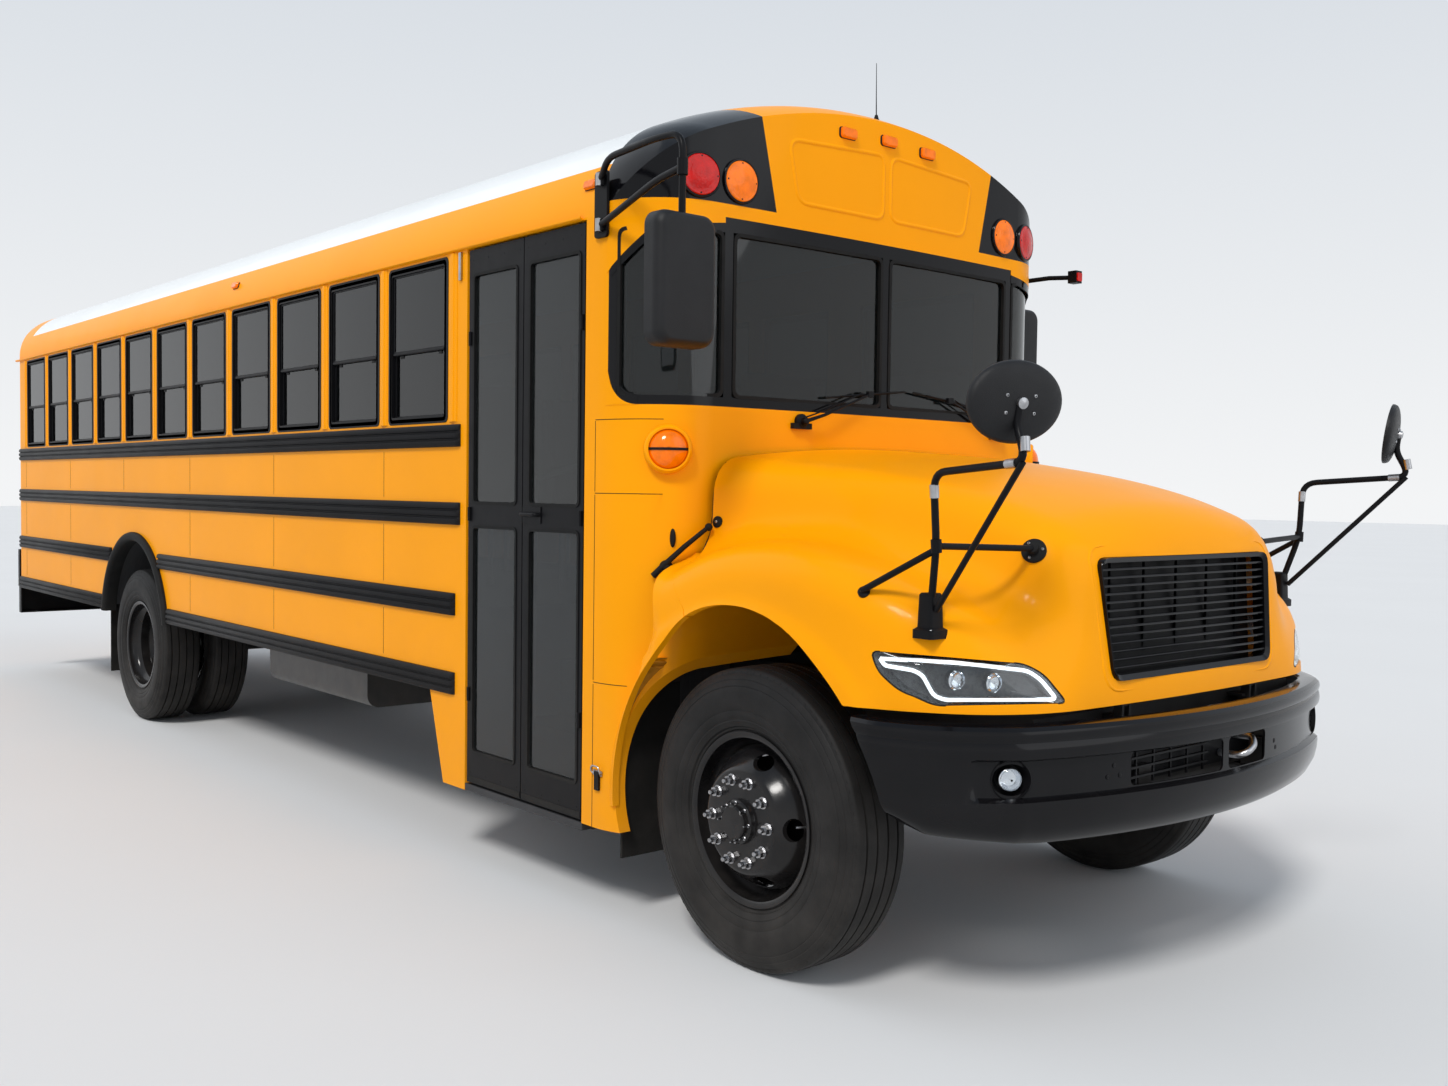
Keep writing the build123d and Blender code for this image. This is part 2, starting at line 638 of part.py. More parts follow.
def lamp_prism(side, spread, mode=Mode.ADD):
    """The outline of one headlamp, carried along X."""
    points = [(side * (y + (spread if y > 1000 else -spread)), z) for x, y, z in lamp_corners]
    cross(points, front_axle_x + 560, nose_foot_x + 40, mode=mode)


with BuildPart() as hood:
    add(hood_body(0))
    add(hood_body(hood_wall), mode=Mode.SUBTRACT)
    for side in sides.values():
        y0, y1 = sorted((side * 640, side * 1300))
        barrel(front_axle_x, y0, y1, axle_z, front_arch_radius, mode=Mode.SUBTRACT)
    cross(grille_outline, front_axle_x + 900, nose_foot_x + 20, mode=Mode.SUBTRACT)
    for side in sides.values():
        lamp_prism(side, 0, mode=Mode.SUBTRACT)
        y0, y1 = side * pivot_y - 12, side * pivot_y + 12
        span(pivot_x - lug_radius, nose_foot_x - hood_wall + 2, y0, y1, pivot_z, pivot_z + 60)
        barrel(pivot_x, y0, y1, pivot_z, lug_radius)
        barrel(pivot_x, y0 - 5, y1 + 5, pivot_z, pivot_radius + running_gap, mode=Mode.SUBTRACT)
save(hood, "hood")

# Grille: a border with thin bars, leaning with the nose
bar_count = 11
bar_height = 12
grille_border = 22
nose_lean = (nose_foot_x - nose_head_x) / (nose_head_z - hood_foot_z + 20)
grille_face_x = nose_head_x - 6
with BuildPart() as grille:
    cross(grille_outline, front_axle_x + 900, nose_foot_x + 20)
    inner = [(y * (1 - grille_border / grille_head_half), z + (grille_border if z < 1200 else -grille_border))
             for y, z in grille_outline]
    cross(inner, front_axle_x + 890, nose_foot_x + 30, mode=Mode.SUBTRACT)
    pitch = (grille_head_z - grille_foot_z) / (bar_count + 1)
    for number in range(1, bar_count + 1):
        z = grille_foot_z + number * pitch
        half = grille_foot_half + (grille_head_half - grille_foot_half) * number / (bar_count + 1) - 3
        span(front_axle_x + 900, nose_foot_x + 20, -half, half, z - bar_height / 2, z + bar_height / 2)
    for y in (-330, -110, 110, 330):
        span(front_axle_x + 900, nose_foot_x + 20, y - 4, y + 4, grille_foot_z, grille_head_z)
    foot_x = grille_face_x + nose_lean * (nose_head_z - grille_foot_z)
    head_x = grille_face_x + nose_lean * (nose_head_z - grille_head_z)
    profile([(foot_x, grille_foot_z), (head_x, grille_head_z), (head_x - 26, grille_head_z),
             (foot_x - 26, grille_foot_z)], -700, 700, mode=Mode.INTERSECT)
save(grille, "grille")

# Headlamps, flush in the corners of the hood
with BuildPart() as headlamps:
    for side in sides.values():
        lamp_prism(side, 0)
    add(hood_body(2), mode=Mode.INTERSECT)
    add(hood_body(70), mode=Mode.SUBTRACT)
save(headlamps, "headlamps")

# Crossview mirrors on bent tubes over the fenders
tube = 11
mirror_depth = 55
with BuildPart() as hood_mirrors:
    for side in sides.values():
        foot = (front_axle_x + 805, side * 1100, 1235)
        bend = (front_axle_x + 805, side * 1140, 1717)
        elbow = (front_axle_x + front_reach - tube - 2, side * 1215, 1745)
        neck = (front_axle_x + 1165, side * 1195, 1905)
        middle = (front_axle_x + 805, side * 1122, 1500)
        flange = (front_axle_x + 845, side * 690, 1490)
        stay = (front_axle_x + 470, side * 1060, 1360)
        rod(foot, bend, tube)
        rod(bend, elbow, tube)
        rod(elbow, neck, tube)
        rod(foot, elbow, tube * 0.8)
        rod(middle, flange, tube)
        rod(middle, stay, tube)
        for joint in (bend, elbow, neck, middle):
            with Locations(joint):
                Sphere(tube + 2)
        span(foot[0] - 26, foot[0] + 26, foot[1] - 26, foot[1] + 26, 1180, 1290)
        back = Plane(origin=neck, x_dir=(-side * 0.35, 1, 0), z_dir=(1, side * 0.35, -0.15))
        with BuildSketch(back):
            Ellipse(152, 116)
        extrude(amount=-mirror_depth)
    add(hood_body(0), mode=Mode.SUBTRACT)
save(hood_mirrors, "hood_mirrors")

# Front bumper, wrapped round to the wheel arches
bumper_head_z = 965
bumper_foot_z = 594
bumper_wall = 25
bumper_corner_y = 930
bumper_sweep = 170
plate_hole_y = 89
plate_hole_z = 905
plate_hole_radius = 4
# Openings in its face: right edge, left edge
bumper_slots = [(-515, -50), (-15, 250)]
slot_foot_z = 750
slot_head_z = 860


def bumper_plan(inset, tail):
    """Outline of the front bumper seen from above."""
    corner = (bumper_x - bumper_sweep - inset, bumper_corner_y - inset / 2)
    bend = (bumper_x - 310 - inset, 1120 - inset * 0.7)
    end = (bumper_x - 500, 1215 - inset)
    with BuildSketch(Plane.XY.offset(bumper_foot_z - 10), mode=Mode.PRIVATE) as outline:
        with BuildLine():
            ThreePointArc((corner[0], -corner[1]), (bumper_x - inset, 0), corner)
            ThreePointArc(corner, bend, end)
            Polyline(end, (tail, end[1]), (tail, -end[1]), (end[0], -end[1]))
            ThreePointArc((end[0], -end[1]), (bend[0], -bend[1]), (corner[0], -corner[1]))
        make_face()
    return outline.sketch


with BuildPart() as front_bumper:
    extrude(bumper_plan(0, front_axle_x + 300), amount=bumper_head_z - bumper_foot_z + 10)
    extrude(bumper_plan(bumper_wall, front_axle_x + 290), amount=bumper_head_z - bumper_foot_z + 10,
            mode=Mode.SUBTRACT)
    barrel(front_axle_x, -1300, 1300, axle_z, front_arch_radius, mode=Mode.SUBTRACT)
    cross([(-1300, 500), (-1300, 690), (-1130, 620), (-720, bumper_foot_z), (720, bumper_foot_z), (1130, 620),
           (1300, 690), (1300, 500)], front_axle_x + 200, bumper_x + 10, mode=Mode.SUBTRACT)
    for y0, y1 in bumper_slots:
        span(bumper_x - 90, bumper_x + 10, y0, y1, slot_foot_z, slot_head_z, mode=Mode.SUBTRACT)
    for side in sides.values():
        rod((bumper_x - 90, side * plate_hole_y, plate_hole_z), (bumper_x + 10, side * plate_hole_y, plate_hole_z),
            plate_hole_radius, mode=Mode.SUBTRACT)
    for side in sides.values():
        y0, y1 = sorted((side * 355, side * 430))
        span(bumper_x - 100, bumper_x - 45, y0, y1, 700, 740)
save(front_bumper, "front_bumper")

# Rear bumper
with BuildPart() as rear_bumper:
    span(rear_x, body_rear_x - 4, -half_width + 20, half_width - 20, 500, 740)
    span(rear_x + 10, body_rear_x, -half_width + 30, half_width - 30, 510, 730, mode=Mode.SUBTRACT)
    for side in sides.values():
        y0, y1 = sorted((side * 355, side * 430))
        span(rear_x + 5, body_rear_x + 200, y0, y1, 560, 690)
        barrel(body_rear_x + 120, y0 - 5, y1 + 5, 620, 18, mode=Mode.SUBTRACT)
save(rear_bumper, "rear_bumper")

# Lamps: round ones on the cap, the rear wall and the cowl, small markers along the top
lamp_radius = 78
lamp_depth = 28
cap_red = (985, 2832)
cap_amber = (800, 2832)
turn_lamp = (1085, 1808)
marker_ys = (-242, 0, 242)
marker_z = 3114
side_marker_xs = (roof_end_x - 85, front_axle_x - 4514)
rear_lamp_y = 960


def rear_disc(y, z, radius):
    """A round lamp on the rear wall."""
    rod((body_rear_x - lamp_depth, y, z), (body_rear_x, y, z), radius)


with BuildPart() as red_lamps:
    for side in sides.values():
        rod((face_x - 260, side * cap_red[0], cap_red[1]), (face_x + 100, side * cap_red[0], cap_red[1]), lamp_radius)
    add(cap_body(-lamp_depth, drip_z - 5), mode=Mode.INTERSECT)
    add(cap_body(0, drip_z - 10), mode=Mode.SUBTRACT)
    for side in sides.values():
        rear_disc(side * rear_lamp_y, 2790, lamp_radius)
        rear_disc(side * rear_lamp_y, 1740, 90)
    for y in marker_ys:
        span(body_rear_x - 18, body_rear_x, y - 45, y + 45, 2985, 3015)
save(red_lamps, "red_lamps")

with BuildPart() as amber_lamps:
    for side in sides.values():
        rod((face_x - 260, side * cap_amber[0], cap_amber[1]), (face_x + 100, side * cap_amber[0], cap_amber[1]),
            lamp_radius)
    for y in marker_ys:
        span(face_x - 120, face_x + 60, y - 45, y + 45, marker_z - 16, marker_z + 16)
    add(cap_body(-lamp_depth, drip_z - 5), mode=Mode.INTERSECT)
    add(cap_body(0, drip_z - 10), mode=Mode.SUBTRACT)
    with BuildPart(mode=Mode.PRIVATE) as markers:
        for x in side_marker_xs:
            span(x - 40, x + 40, -1300, 1300, 2800, 2845)
        add(roof_body(-lamp_depth, drip_z - 5), mode=Mode.INTERSECT)
        add(roof_body(0, drip_z - 10), mode=Mode.SUBTRACT)
    add(markers.part)
    with BuildPart(mode=Mode.PRIVATE) as turns:
        for side in sides.values():
            rod((face_x - 260, side * turn_lamp[0], turn_lamp[1]), (face_x + 100, side * turn_lamp[0], turn_lamp[1]),
                lamp_radius)
        extrude(plan(1500, -55), amount=600, mode=Mode.INTERSECT)
        extrude(plan(1500, 0), amount=600, mode=Mode.SUBTRACT)
    add(turns.part)
    for side in sides.values():
        rear_disc(side * (rear_lamp_y - 2 * lamp_radius - 20), 2790, lamp_radius)
        rear_disc(side * rear_lamp_y, 1500, 90)
save(amber_lamps, "amber_lamps")

# Outside mirrors on bent arms from brackets over the front corners
mirror_out_y = 1468
head_height = 450
head_depth = 90
arm = 12
head_z = 2365
mirror_mounts = {
    # side: head X, head width, arm's bend X
    "right": (front_axle_x - 149, 256, front_axle_x - 300),
    "left": (front_axle_x - 790, 190, front_axle_x - 740),
}
with BuildPart() as side_mirrors:
    for name, (head_x, head_width, bend_x) in mirror_mounts.items():
        side = sides[name]
        head_y = mirror_out_y - head_width / 2
        bracket_x = windshield_corner_x - 30
        span(bracket_x - 50, bracket_x + 40, side * half_width, side * (half_width + 26), 2600, 2860)
        upper = (bracket_x, side * (half_width + 14), 2820)
        lower = (bracket_x, side * (half_width + 14), 2650)
        top_bend = (bend_x, side * head_y, 2870)
        low_bend = (bend_x, side * head_y, 2740)
        top = (head_x, side * head_y, 2860)
        low = (head_x, side * head_y, 2735)
        rod(upper, top_bend, arm)
        rod(lower, low_bend, arm)
        rod(top_bend, top, arm)
        rod(low_bend, low, arm)
        rod(top, (head_x, side * head_y, head_z), arm)
        for joint in (top_bend, low_bend, top):
            with Locations(joint):
                Sphere(arm + 1)
        with BuildPart(mode=Mode.PRIVATE) as head:
            with Locations((head_x, side * head_y, head_z)):
                Box(head_depth, head_width, head_height)
            fillet(head.edges(), 30)
        add(head.part)
    rod((windshield_corner_x, half_width + 14, 2700), (front_axle_x - 425, 1300, 2700), arm)
    with Locations((front_axle_x - 425, 1300, 2700)):
        Box(50, 50, 60)
save(side_mirrors, "side_mirrors")

# Antenna on the cap
with BuildPart() as antenna:
    rod((face_x - 90, 20, 3215), (face_x - 90, 20, 3470), 3)
    rod((face_x - 90, 20, 3215), (face_x - 90, 20, 3240), 12)
    add(cap_body(0, drip_z - 5), mode=Mode.SUBTRACT)
save(antenna, "antenna")

# Seats: rows of benches beside the aisle, and the driver's seat
seat_rows = 10
seat_pitch = 700
first_row_x = door_x - 480
bench_width = 920
bench_depth = 390
cushion_z = floor_z + 440
back_height = 620
driver_y = 620
with BuildPart() as seats:
    for row in range(seat_rows):
        x = first_row_x - row * seat_pitch
        for side in sides.values():
            y0, y1 = sorted((side * step_in_y, side * (step_in_y - bench_width)))
            span(x - bench_depth, x, y0, y1, cushion_z - 110, cushion_z)
            profile([(x - bench_depth, cushion_z - 110), (x - bench_depth - 90, cushion_z - 110),
                     (x - bench_depth - 170, cushion_z + back_height), (x - bench_depth - 90, cushion_z + back_height)],
                    y1, y0)
            leg_y = side * (step_in_y - bench_width + 90)
            span(x - bench_depth + 40, x - 60, leg_y - 15, leg_y + 15, floor_z, cushion_z - 110)
    x = pillar_x - 420
    span(x - 430, x, driver_y - 240, driver_y + 240, cushion_z - 120, cushion_z)
    profile([(x - 430, cushion_z - 120), (x - 530, cushion_z - 120), (x - 620, cushion_z + 700),
             (x - 530, cushion_z + 700)], driver_y + 240, driver_y - 240)
    rod((x - 230, driver_y, floor_z), (x - 230, driver_y, cushion_z - 120), 90)
save(seats, "seats")

# Dashboard with the steering wheel
dash_z = windshield_foot_z - 40
wheel_x = pillar_x - 90
wheel_z = 1830
with BuildPart() as dashboard:
    profile([(face_x - 75, floor_z), (face_x - 75, dash_z), (pillar_x + 60, dash_z - 30), (pillar_x, dash_z - 200),
             (pillar_x + 60, dash_z - 420), (pillar_x + 200, floor_z)], 1150, -330)
    with BuildPart(mode=Mode.PRIVATE) as corners:
        extrude(plan(floor_z - 10, wall + 5), amount=1200)
    add(corners.part, mode=Mode.INTERSECT)
    rod((pillar_x + 60, driver_y, dash_z - 260), (wheel_x, driver_y, wheel_z), 28)
    with Locations(Plane(origin=(wheel_x, driver_y, wheel_z), z_dir=(-0.62, 0, 0.78))):
        Torus(215, 16)
        Box(420, 36, 14)
        Box(36, 420, 14)
        Cylinder(62, 40)
save(dashboard, "dashboard")

# Frame rails with cross members
rail_out_y = 430
rail_flange = 75
rail_foot_z = 690
rail_head_z = 950
rail_sheet = 9
rail_rear_x = body_rear_x + 60
rail_end_x = front_axle_x + 990
tow_x = rail_end_x + 40
tow_y = rail_out_y - rail_flange / 2
tow_radius = 18
member_xs = [rail_rear_x + 60, rear_axle_x - 900, rear_axle_x + 900, rear_axle_x + 2145,
             front_axle_x - 2705, door_x - 90]
with BuildPart() as frame_rails:
    for side in sides.values():
        y0, y1 = sorted((side * rail_out_y, side * (rail_out_y - rail_flange)))
        span(rail_rear_x, rail_end_x, y0, y1, rail_foot_z, rail_head_z)
        y0, y1 = sorted((side * (rail_out_y - rail_sheet), side * (rail_out_y - rail_flange - 10)))
        span(rail_rear_x - 10, rail_end_x + 10, y0, y1, rail_foot_z + rail_sheet, rail_head_z - rail_sheet,
             mode=Mode.SUBTRACT)
    for x in member_xs:
        span(x - 30, x + 30, -rail_out_y + rail_sheet, rail_out_y - rail_sheet, rail_head_z - 90, rail_head_z)
        span(x - 30, x + 30, -1100, 1100, rail_head_z, floor_z - floor_depth)
    span(rail_end_x - 60, rail_end_x, -rail_out_y, rail_out_y, rail_foot_z + 20, rail_foot_z + 90)
    for side in sides.values():
        rail_y = side * (rail_out_y - rail_sheet)
        span(rail_end_x, bumper_x - 100, side * 355, side * rail_out_y, 700, 800)
        for y in (side * (pivot_y - 12 - 14), side * (pivot_y + 12 + 2)):
            y0, y1 = sorted((y, y + side * 12))
            profile([(rail_end_x - 60, rail_foot_z + 90), (rail_end_x + 10, rail_foot_z + 90),
                     (pivot_x + 12, pivot_z - 8), (pivot_x + 12, pivot_z + 12), (pivot_x - 14, pivot_z + 12)], y1, y0)
        barrel(pivot_x, side * pivot_y - 28, side * pivot_y + 28, pivot_z, pivot_radius)
    for side in sides.values():
        rod((tow_x, side * tow_y, 690), (tow_x, side * tow_y, 810), tow_radius, mode=Mode.SUBTRACT)
save(frame_rails, "frame_rails")

# Engine, radiator, gearbox and propeller shaft as plain blocks
engine_x = face_x + 60
with BuildPart() as powertrain:
    span(engine_x, engine_x + 1080, -300, 300, 640, 1480)
    span(engine_x + 1080, engine_x + 1180, -80, 80, 900, 1060)
    span(engine_x + 1180, engine_x + 1250, -350, 350, 800, 1420)
    span(engine_x - 260, engine_x, -230, 230, 620, 1020)
    span(engine_x - 900, engine_x - 260, -170, 170, 640, 960)
    rod((engine_x - 900, 0, 800), (rear_axle_x + 400, 0, axle_z), 50)
    rod((rear_axle_x + 400, 0, axle_z), (rear_axle_x + 260, 0, axle_z), 50)
    for side in sides.values():
        y0, y1 = sorted((side * 300, side * (rail_out_y - rail_sheet)))
        span(engine_x + 200, engine_x + 320, y0, y1, 860, 910)
        y0, y1 = sorted((side * 170, side * (rail_out_y - rail_sheet)))
        span(engine_x - 820, engine_x - 740, y0, y1, 760, 800)
        span(engine_x + 1190, engine_x + 1240, side * 340, side * (rail_out_y - rail_sheet), 800, 840)
save(powertrain, "powertrain")

# Fuel tank and exhaust
with BuildPart() as fuel_tank:
    span(front_axle_x - 4455, front_axle_x - 3155, -1020, -470, 480, 920)
    fillet(fuel_tank.edges().filter_by(Axis.X), 70)
    for x in (front_axle_x - 4205, front_axle_x - 3405):
        span(x - 40, x + 40, -480, -rail_out_y, 820, 900)
save(fuel_tank, "fuel_tank")

pipe_y = 508
pipe_z = 680
pipe_radius = 40
muffler_front_x = front_axle_x - 1605
muffler_rear_x = muffler_front_x - 1300
muffler_y = pipe_y + 60
muffler_radius = 125
hanger_xs = [muffler_front_x - 100, muffler_rear_x + 100, rear_axle_x + 1945, rear_axle_x - 1255, body_rear_x + 340]
with BuildPart() as exhaust:
    rod((engine_x - 500, pipe_y, pipe_z), (muffler_front_x - 100, pipe_y, pipe_z), pipe_radius)
    rod((muffler_front_x, muffler_y, pipe_z), (muffler_rear_x, muffler_y, pipe_z), muffler_radius)
    rod((muffler_rear_x + 100, pipe_y, pipe_z), (body_rear_x + 30, pipe_y, pipe_z), pipe_radius)
    for x in hanger_xs:
        span(x - 20, x + 20, rail_out_y, pipe_y, pipe_z + 12, pipe_z + 30)
save(exhaust, "exhaust")

# Axles with their leaf springs
kingpin_y = 880
kingpin_radius = 22
beam_eye = 48
beam_eye_half = 48
spring_in_y = 368
spring_out_y = 448
with BuildPart() as front_axle:
    span(front_axle_x - 45, front_axle_x + 45, -700, 700, 400, 490)
    for side in sides.values():
        cross([(side * 690, 400), (side * 690, 490), (side * (kingpin_y - 30), axle_z + 30),
               (side * (kingpin_y - 30), axle_z - 40)], front_axle_x - 40, front_axle_x + 40)
        rod((front_axle_x, side * kingpin_y, axle_z - beam_eye_half), (front_axle_x, side * kingpin_y,
            axle_z + beam_eye_half), beam_eye)
        rod((front_axle_x, side * kingpin_y, axle_z - 100), (front_axle_x, side * kingpin_y, axle_z + 100),
            kingpin_radius + running_gap, mode=Mode.SUBTRACT)
        y0, y1 = sorted((side * spring_in_y, side * spring_out_y))
        profile([(front_axle_x - 700, 650), (front_axle_x - 120, 490), (front_axle_x + 120, 490),
                 (front_axle_x + 700, 650), (front_axle_x + 700, 690), (front_axle_x + 640, 690),
                 (front_axle_x + 120, 560), (front_axle_x - 120, 560), (front_axle_x - 640, 690),
                 (front_axle_x - 700, 690)], y1, y0)
save(front_axle, "front_axle")

diff_radius = 200
spindle_radius = 40
hub_face_y = rear_track / 2 - 167
with BuildPart() as rear_axle:
    rod((rear_axle_x, -hub_face_y + 260, axle_z), (rear_axle_x, hub_face_y - 260, axle_z), 85)
    rod((rear_axle_x, -hub_face_y - 90, axle_z), (rear_axle_x, hub_face_y + 90, axle_z), spindle_radius)
    with Locations((rear_axle_x, 0, axle_z)):
        Sphere(diff_radius)
    rod((rear_axle_x, 0, axle_z), (rear_axle_x + 260, 0, axle_z), 70)
    for side in sides.values():
        y0, y1 = sorted((side * spring_in_y, side * spring_out_y))
        profile([(rear_axle_x - 760, 650), (rear_axle_x - 120, 600), (rear_axle_x + 120, 600),
                 (rear_axle_x + 760, 650), (rear_axle_x + 760, 690), (rear_axle_x + 700, 690),
                 (rear_axle_x + 120, 670), (rear_axle_x - 120, 670), (rear_axle_x - 700, 690),
                 (rear_axle_x - 760, 690)], y1, y0)
save(rear_axle, "rear_axle")

# Steering knuckles: a yoke round the end of the beam, with its spindle
yoke_gap = 1
disc_face = front_track / 2 + 150
for name, side in sides.items():
    with BuildPart() as knuckle:
        for z0 in (axle_z - beam_eye_half - yoke_gap - 34, axle_z + beam_eye_half + yoke_gap):
            rod((front_axle_x, side * kingpin_y, z0), (front_axle_x, side * kingpin_y, z0 + 34), 44)
            y0, y1 = sorted((side * kingpin_y, side * (kingpin_y + 84)))
            span(front_axle_x - 44, front_axle_x + 44, y0, y1, z0, z0 + 34)
        y0, y1 = sorted((side * (kingpin_y + 56), side * (kingpin_y + 84)))
        span(front_axle_x - 44, front_axle_x + 44, y0, y1, axle_z - 83, axle_z + 83)
        rod((front_axle_x, side * kingpin_y, axle_z - 84), (front_axle_x, side * kingpin_y, axle_z + 84),
            kingpin_radius)
        rod((front_axle_x, side * (kingpin_y + 60), axle_z), (front_axle_x, side * (disc_face + 20), axle_z),
            spindle_radius)
    save(knuckle, f"knuckle_{name}")

# Wheels: rim, disc with hand holes, hub, studs
rim_points = [(-114, 290), (-114, 303), (-104, 303), (-98, 290), (-40, 284), (-25, 262), (25, 262), (40, 284),
              (98, 290), (104, 303), (114, 303), (114, 290), (108, 280), (48, 272), (33, 250), (-33, 250),
              (-48, 272), (-108, 280)]
hand_holes = 5
stud_count = 10
stud_pcd = 286
hub_bore = spindle_radius + running_gap


def wheel(x, y, outward, deep):
    """One disc wheel; outward is the side its rim faces and deep puts the disc inboard."""
    with BuildPart(mode=Mode.PRIVATE) as solid:
        with BuildSketch(Plane.YZ):
            with BuildLine():
                Polyline(*rim_points, close=True)
            make_face()
            with BuildLine():
                Polyline((20, 255), (34, 255), (118, 205), (150, 178), (150, 60), (136, 60), (136, 172),
                         (108, 196), (20, 246), close=True)
            make_face()
        revolve(axis=Axis.Y)
        for number in range(hand_holes):
            turn = 2 * pi * number / hand_holes + 0.3
            centre = (216 * sin(turn), 216 * cos(turn))
            rod((centre[0], 60, centre[1]), (centre[0], 160, centre[1]), 27, mode=Mode.SUBTRACT)
    facing = outward * (-1 if deep else 1)
    turned = solid.part if facing > 0 else mirror(solid.part, Plane.XZ, mode=Mode.PRIVATE)
    return Pos(x, y, axle_z) * turned


def studs(hub_x, y0, y1):
    """The ring of studs of the hub at hub_x between two places along the axle."""
    for number in range(stud_count):
        turn = 2 * pi * (number + 0.5) / stud_count
        x, z = stud_pcd / 2 * sin(turn), stud_pcd / 2 * cos(turn)
        rod((hub_x + x, y0, axle_z + z), (hub_x + x, y1, axle_z + z), 11)


tyre_bead = 290 + seat_gap
tyre_points = [(98, tyre_bead), (103.5, 306), (tyre_width / 2 - 4, 360), (tyre_width / 2, 415),
               (tyre_width / 2 - 8, 470), (112, 512), (100, tyre_radius), (-100, tyre_radius), (-112, 512),
               (-tyre_width / 2 + 8, 470), (-tyre_width / 2, 415), (-tyre_width / 2 + 4, 360), (-103.5, 306),
               (-98, tyre_bead), (-76, tyre_bead), (-112, 400), (-92, 490), (92, 490), (112, 400), (76, tyre_bead)]


def tyre(x, y):
    """One tyre."""
    with BuildPart(mode=Mode.PRIVATE) as solid:
        with BuildSketch(Plane.YZ):
            with BuildLine():
                Polyline(*tyre_points, close=True)
            make_face()
        revolve(axis=Axis.Y)
    return Pos(x, y, axle_z) * solid.part


for name, side in sides.items():
    middle_y = side * front_track / 2
    with BuildPart() as wheel_front:
        add(wheel(front_axle_x, middle_y, side, False))
        rod((front_axle_x, middle_y - side * 20, axle_z), (front_axle_x, middle_y + side * 136, axle_z), 100)
        rod((front_axle_x, middle_y - side * 30, axle_z), (front_axle_x, middle_y + side * 20, axle_z), 205)
        rod((front_axle_x, middle_y + side * 136, axle_z), (front_axle_x, middle_y + side * 190, axle_z), 66)
        studs(front_axle_x, middle_y + side * 100, middle_y + side * 190)
        rod((front_axle_x, middle_y - side * 60, axle_z), (front_axle_x, middle_y + side * 172, axle_z), hub_bore,
            mode=Mode.SUBTRACT)
    save(wheel_front, f"wheel_front_{name}")
    with BuildPart() as tyre_front:
        add(tyre(front_axle_x, middle_y))
    save(tyre_front, f"tyre_front_{name}")

twin_spacing = 334
for name, side in sides.items():
    outer_y = side * rear_track / 2
    inner_y = outer_y - side * twin_spacing
    face_y = side * hub_face_y
    with BuildPart() as wheels_rear:
        add(wheel(rear_axle_x, outer_y, side, True))
        add(wheel(rear_axle_x, inner_y, side, False))
        rod((rear_axle_x, face_y - side * 180, axle_z), (rear_axle_x, face_y + side * 60, axle_z), 110)
        rod((rear_axle_x, face_y - side * 220, axle_z), (rear_axle_x, face_y - side * 60, axle_z), 205)
        rod((rear_axle_x, face_y + side * 50, axle_z), (rear_axle_x, face_y + side * 130, axle_z), 84)
        studs(rear_axle_x, face_y - side * 60, face_y + side * 55)
        rod((rear_axle_x, face_y - side * 240, axle_z), (rear_axle_x, face_y + side * 100, axle_z), hub_bore,
            mode=Mode.SUBTRACT)
    save(wheels_rear, f"wheels_rear_{name}")
    with BuildPart() as tyres_rear:
        add(tyre(rear_axle_x, outer_y))
        add(tyre(rear_axle_x, inner_y))
    save(tyres_rear, f"tyres_rear_{name}")
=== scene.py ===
import bpy, bmesh, math
import numpy as np
from mathutils import Vector, Matrix
from mathutils.bvhtree import BVHTree


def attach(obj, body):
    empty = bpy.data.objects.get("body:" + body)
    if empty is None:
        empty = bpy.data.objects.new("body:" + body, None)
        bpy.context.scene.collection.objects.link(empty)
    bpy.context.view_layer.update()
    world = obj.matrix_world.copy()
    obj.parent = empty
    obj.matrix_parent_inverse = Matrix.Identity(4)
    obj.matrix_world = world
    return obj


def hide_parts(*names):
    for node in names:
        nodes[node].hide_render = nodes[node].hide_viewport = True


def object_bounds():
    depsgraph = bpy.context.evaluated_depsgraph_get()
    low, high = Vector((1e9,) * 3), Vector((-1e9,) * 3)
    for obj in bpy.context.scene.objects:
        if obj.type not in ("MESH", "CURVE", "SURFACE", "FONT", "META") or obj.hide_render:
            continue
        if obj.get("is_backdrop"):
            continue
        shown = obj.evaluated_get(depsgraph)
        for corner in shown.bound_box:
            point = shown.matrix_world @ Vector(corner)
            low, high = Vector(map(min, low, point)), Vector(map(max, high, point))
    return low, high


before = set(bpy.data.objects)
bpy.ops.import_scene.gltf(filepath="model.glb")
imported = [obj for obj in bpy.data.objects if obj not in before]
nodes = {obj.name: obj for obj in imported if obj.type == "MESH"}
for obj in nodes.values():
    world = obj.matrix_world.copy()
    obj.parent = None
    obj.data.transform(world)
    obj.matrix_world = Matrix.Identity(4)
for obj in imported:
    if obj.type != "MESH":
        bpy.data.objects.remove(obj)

cad_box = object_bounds()

# Places in metres, as in the part's source
fax, rax = 4.205, -2.145
half = 1.219
face_x, roof_end_x, pillar_x, door_x = fax - 0.450, fax - 0.795, fax - 0.884, fax - 1.788
wall_x = -5.340
drip_z, floor_z = 2.690, 1.120
win_z0, win_z1, shield_z0 = 1.950, 2.672, 1.975
arch_r, rear_arch_r, rear_arch_z = 0.690, 0.690, 0.610
axle_z = 0.525
win_front, win_pitch, win_width, win_count = door_x - 0.178, 0.668, 0.546, 11
driver_x0, driver_x1 = pillar_x - 0.83, pillar_x - 0.05
SIDES = ((-1, "right"), (1, "left"))


# Materials
def new_node(tree, kind, **inputs):
    """A new shader node with its inputs set by name."""
    made = tree.nodes.new("ShaderNode" + kind)
    for key, value in inputs.items():
        made.inputs[key.replace("_", " ")].default_value = value
    return made


